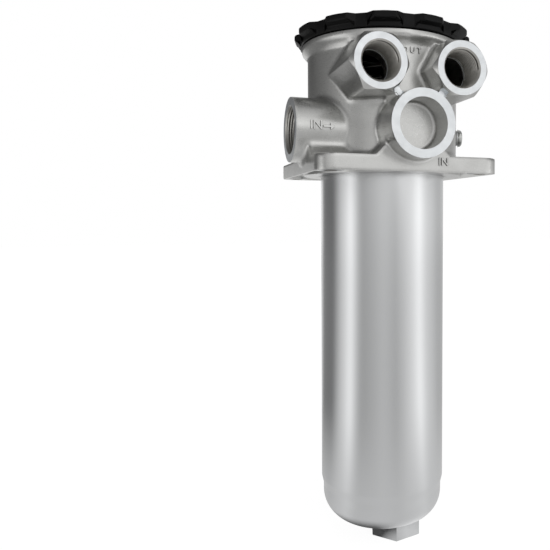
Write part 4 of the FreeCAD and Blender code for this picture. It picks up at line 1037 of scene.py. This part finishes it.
def room_greys(tree, direction, stops):
    """The room's brightness in a compass direction, 0 towards the camera and positive to the right."""
    rightward = add(tree, "ShaderNodeVectorMath", {"operation": "DOT_PRODUCT"}, _0=direction, _1=to_right)
    forward = add(tree, "ShaderNodeVectorMath", {"operation": "DOT_PRODUCT"}, _0=direction, _1=to_camera)
    compass = add(tree, "ShaderNodeMath", {"operation": "ARCTAN2"}, _0=rightward.outputs["Value"],
                  _1=forward.outputs["Value"])
    share = add(tree, "ShaderNodeMapRange", Value=compass.outputs[0], _1=-math.pi, _2=math.pi)
    greys = [((angle + 180) / 360, [grey / ROOM_BRIGHTEST] * 3 + [1.0]) for angle, grey in stops]
    return add(tree, "ShaderNodeValToRGB", stops=greys, Fac=share.outputs[0]).outputs["Color"]


print("grey stops:", len(LOW_GREYS), "low,", len(HIGH_GREYS), "high and", len(UNDER_BOWL_SHADOW_GREYS), "near")

# %% [markdown]
# The room is the only light: there are no lamps. The greys of eye level change to the high ones just above
# the horizon, and the ceiling is a little darker again. Only the camera's own rays see plain white.

# %% World
WALL_CHANGE = (0.065, 0.14)
CEILING_TONES = [(0.2, WHITE), (0.85, linear("#c8c8c8"))]

world = bpy.data.worlds.new("studio")
bpy.context.scene.world = world
world.use_nodes = True
sky = world.node_tree
sky.nodes.clear()
ray = sky.nodes.new("ShaderNodeTexCoord").outputs["Generated"]
upward = add(sky, "ShaderNodeSeparateXYZ", Vector=ray)
lifted = add(sky, "ShaderNodeMapRange", Value=upward.outputs["Z"], _1=WALL_CHANGE[0], _2=WALL_CHANGE[1])
walls = add(sky, "ShaderNodeMix", {"data_type": "RGBA"}, _0=lifted.outputs[0],
            _6=room_greys(sky, ray, LOW_GREYS), _7=room_greys(sky, ray, HIGH_GREYS))
ceiling = add(sky, "ShaderNodeValToRGB", stops=CEILING_TONES, Fac=upward.outputs["Z"])
room = add(sky, "ShaderNodeMix", {"data_type": "RGBA", "blend_type": "MULTIPLY"}, _0=1.0,
           _6=walls.outputs[2], _7=ceiling.outputs["Color"])
rays = sky.nodes.new("ShaderNodeLightPath")
seen = add(sky, "ShaderNodeMix", {"data_type": "RGBA"}, _0=rays.outputs["Is Camera Ray"],
           _6=room.outputs[2], _7=WHITE)
strength = add(sky, "ShaderNodeMix", _0=rays.outputs["Is Camera Ray"], _2=ROOM_BRIGHTEST, _3=1.0)
light = add(sky, "ShaderNodeBackground", Color=seen.outputs[2], Strength=strength.outputs[0])
add(sky, "ShaderNodeOutputWorld", Surface=light.outputs[0])
print("world nodes:", len(sky.nodes))

# %% [markdown]
# The floor is grey card, so that little light comes up from it. It adds a glow that the camera sees as
# white, and in which the metal mirrors much the same room as above the floor. Near the foot that room
# gives way to one steady grey, and under the bowl to the darker greys of a painted shadow. The object's
# real shadow stays in the grey card's share.

# %% Floor
FLOOR_GAP = 0.5
FLOOR_SIZE = 6000
CAMERA_GLOW = 0.93
MIRRORED_GLOW = 0.7 * ROOM_BRIGHTEST
FOOT_GREY = 0.82 / ROOM_BRIGHTEST
FOOT_REACH = (150, 450)
FOOT_ROOM_SHARE = 0.15
UNDER_BOWL = (38, 70)
floor_height = cad_box[0][2] - mm(FLOOR_GAP)

bm = bmesh.new()
bmesh.ops.create_grid(bm, x_segments=2, y_segments=2, size=FLOOR_SIZE)
bmesh.ops.translate(bm, verts=bm.verts, vec=(0, 0, floor_height * 1000))
card, card_tree, card_surface, card_place = blank_material("grey_card_floor", Roughness=0.9)
card_surface.inputs["Base Color"].default_value = linear("#8a8a8a")
card_surface.inputs["Specular IOR Level"].default_value = 0.0
rays = card_tree.nodes.new("ShaderNodeLightPath")
mirrored = add(card_tree, "ShaderNodeMath", {"operation": "MAXIMUM"}, _0=rays.outputs["Is Glossy Ray"],
               _1=rays.outputs["Is Transmission Ray"])
mirrored_share = add(card_tree, "ShaderNodeMath", {"operation": "MULTIPLY"}, _0=mirrored.outputs[0],
                     _1=MIRRORED_GLOW)
camera_share = add(card_tree, "ShaderNodeMath", {"operation": "MULTIPLY"},
                   _0=rays.outputs["Is Camera Ray"], _1=CAMERA_GLOW)
flat = add(card_tree, "ShaderNodeVectorMath", {"operation": "MULTIPLY"}, _0=card_place, _1=(1.0, 1.0, 0.0))
from_axis = add(card_tree, "ShaderNodeVectorMath", {"operation": "LENGTH"}, _0=flat.outputs[0])
away = add(card_tree, "ShaderNodeMapRange", Value=from_axis.outputs["Value"], _1=mm(FOOT_REACH[0]),
           _2=mm(FOOT_REACH[1]), _3=FOOT_ROOM_SHARE, _4=1.0)
around = add(card_tree, "ShaderNodeMix", {"data_type": "RGBA"}, _0=away.outputs[0],
             _6=[FOOT_GREY] * 3 + [1.0], _7=room_greys(card_tree, card_place, LOW_GREYS))
# Under the bowl the mirrored glow darkens into a painted shadow.
under = add(card_tree, "ShaderNodeMapRange", Value=from_axis.outputs["Value"], _1=mm(UNDER_BOWL[0]),
            _2=mm(UNDER_BOWL[1]))
ground = add(card_tree, "ShaderNodeMix", {"data_type": "RGBA"}, _0=under.outputs[0],
             _6=room_greys(card_tree, card_place, UNDER_BOWL_SHADOW_GREYS), _7=around.outputs[2])
room_glow = add(card_tree, "ShaderNodeEmission", Color=ground.outputs[2],
                Strength=mirrored_share.outputs[0])
white_glow = add(card_tree, "ShaderNodeEmission", Color=WHITE, Strength=camera_share.outputs[0])
glows = add(card_tree, "ShaderNodeAddShader", _0=room_glow.outputs[0], _1=white_glow.outputs[0])
lit = add(card_tree, "ShaderNodeAddShader", _0=card_surface.outputs[0], _1=glows.outputs[0])
card_tree.links.new(lit.outputs[0], card_tree.nodes["Material Output"].inputs["Surface"])
floor = make_object("floor", bm, card)
print("floor at", round(floor_height * 1000, 1), "mm")

# %% [markdown]
# The CAD model's box, measured before any change, is printed.

# %% Print the CAD box
print("CAD box", [[round(v * 1000, 1) for v in corner] for corner in cad_box])
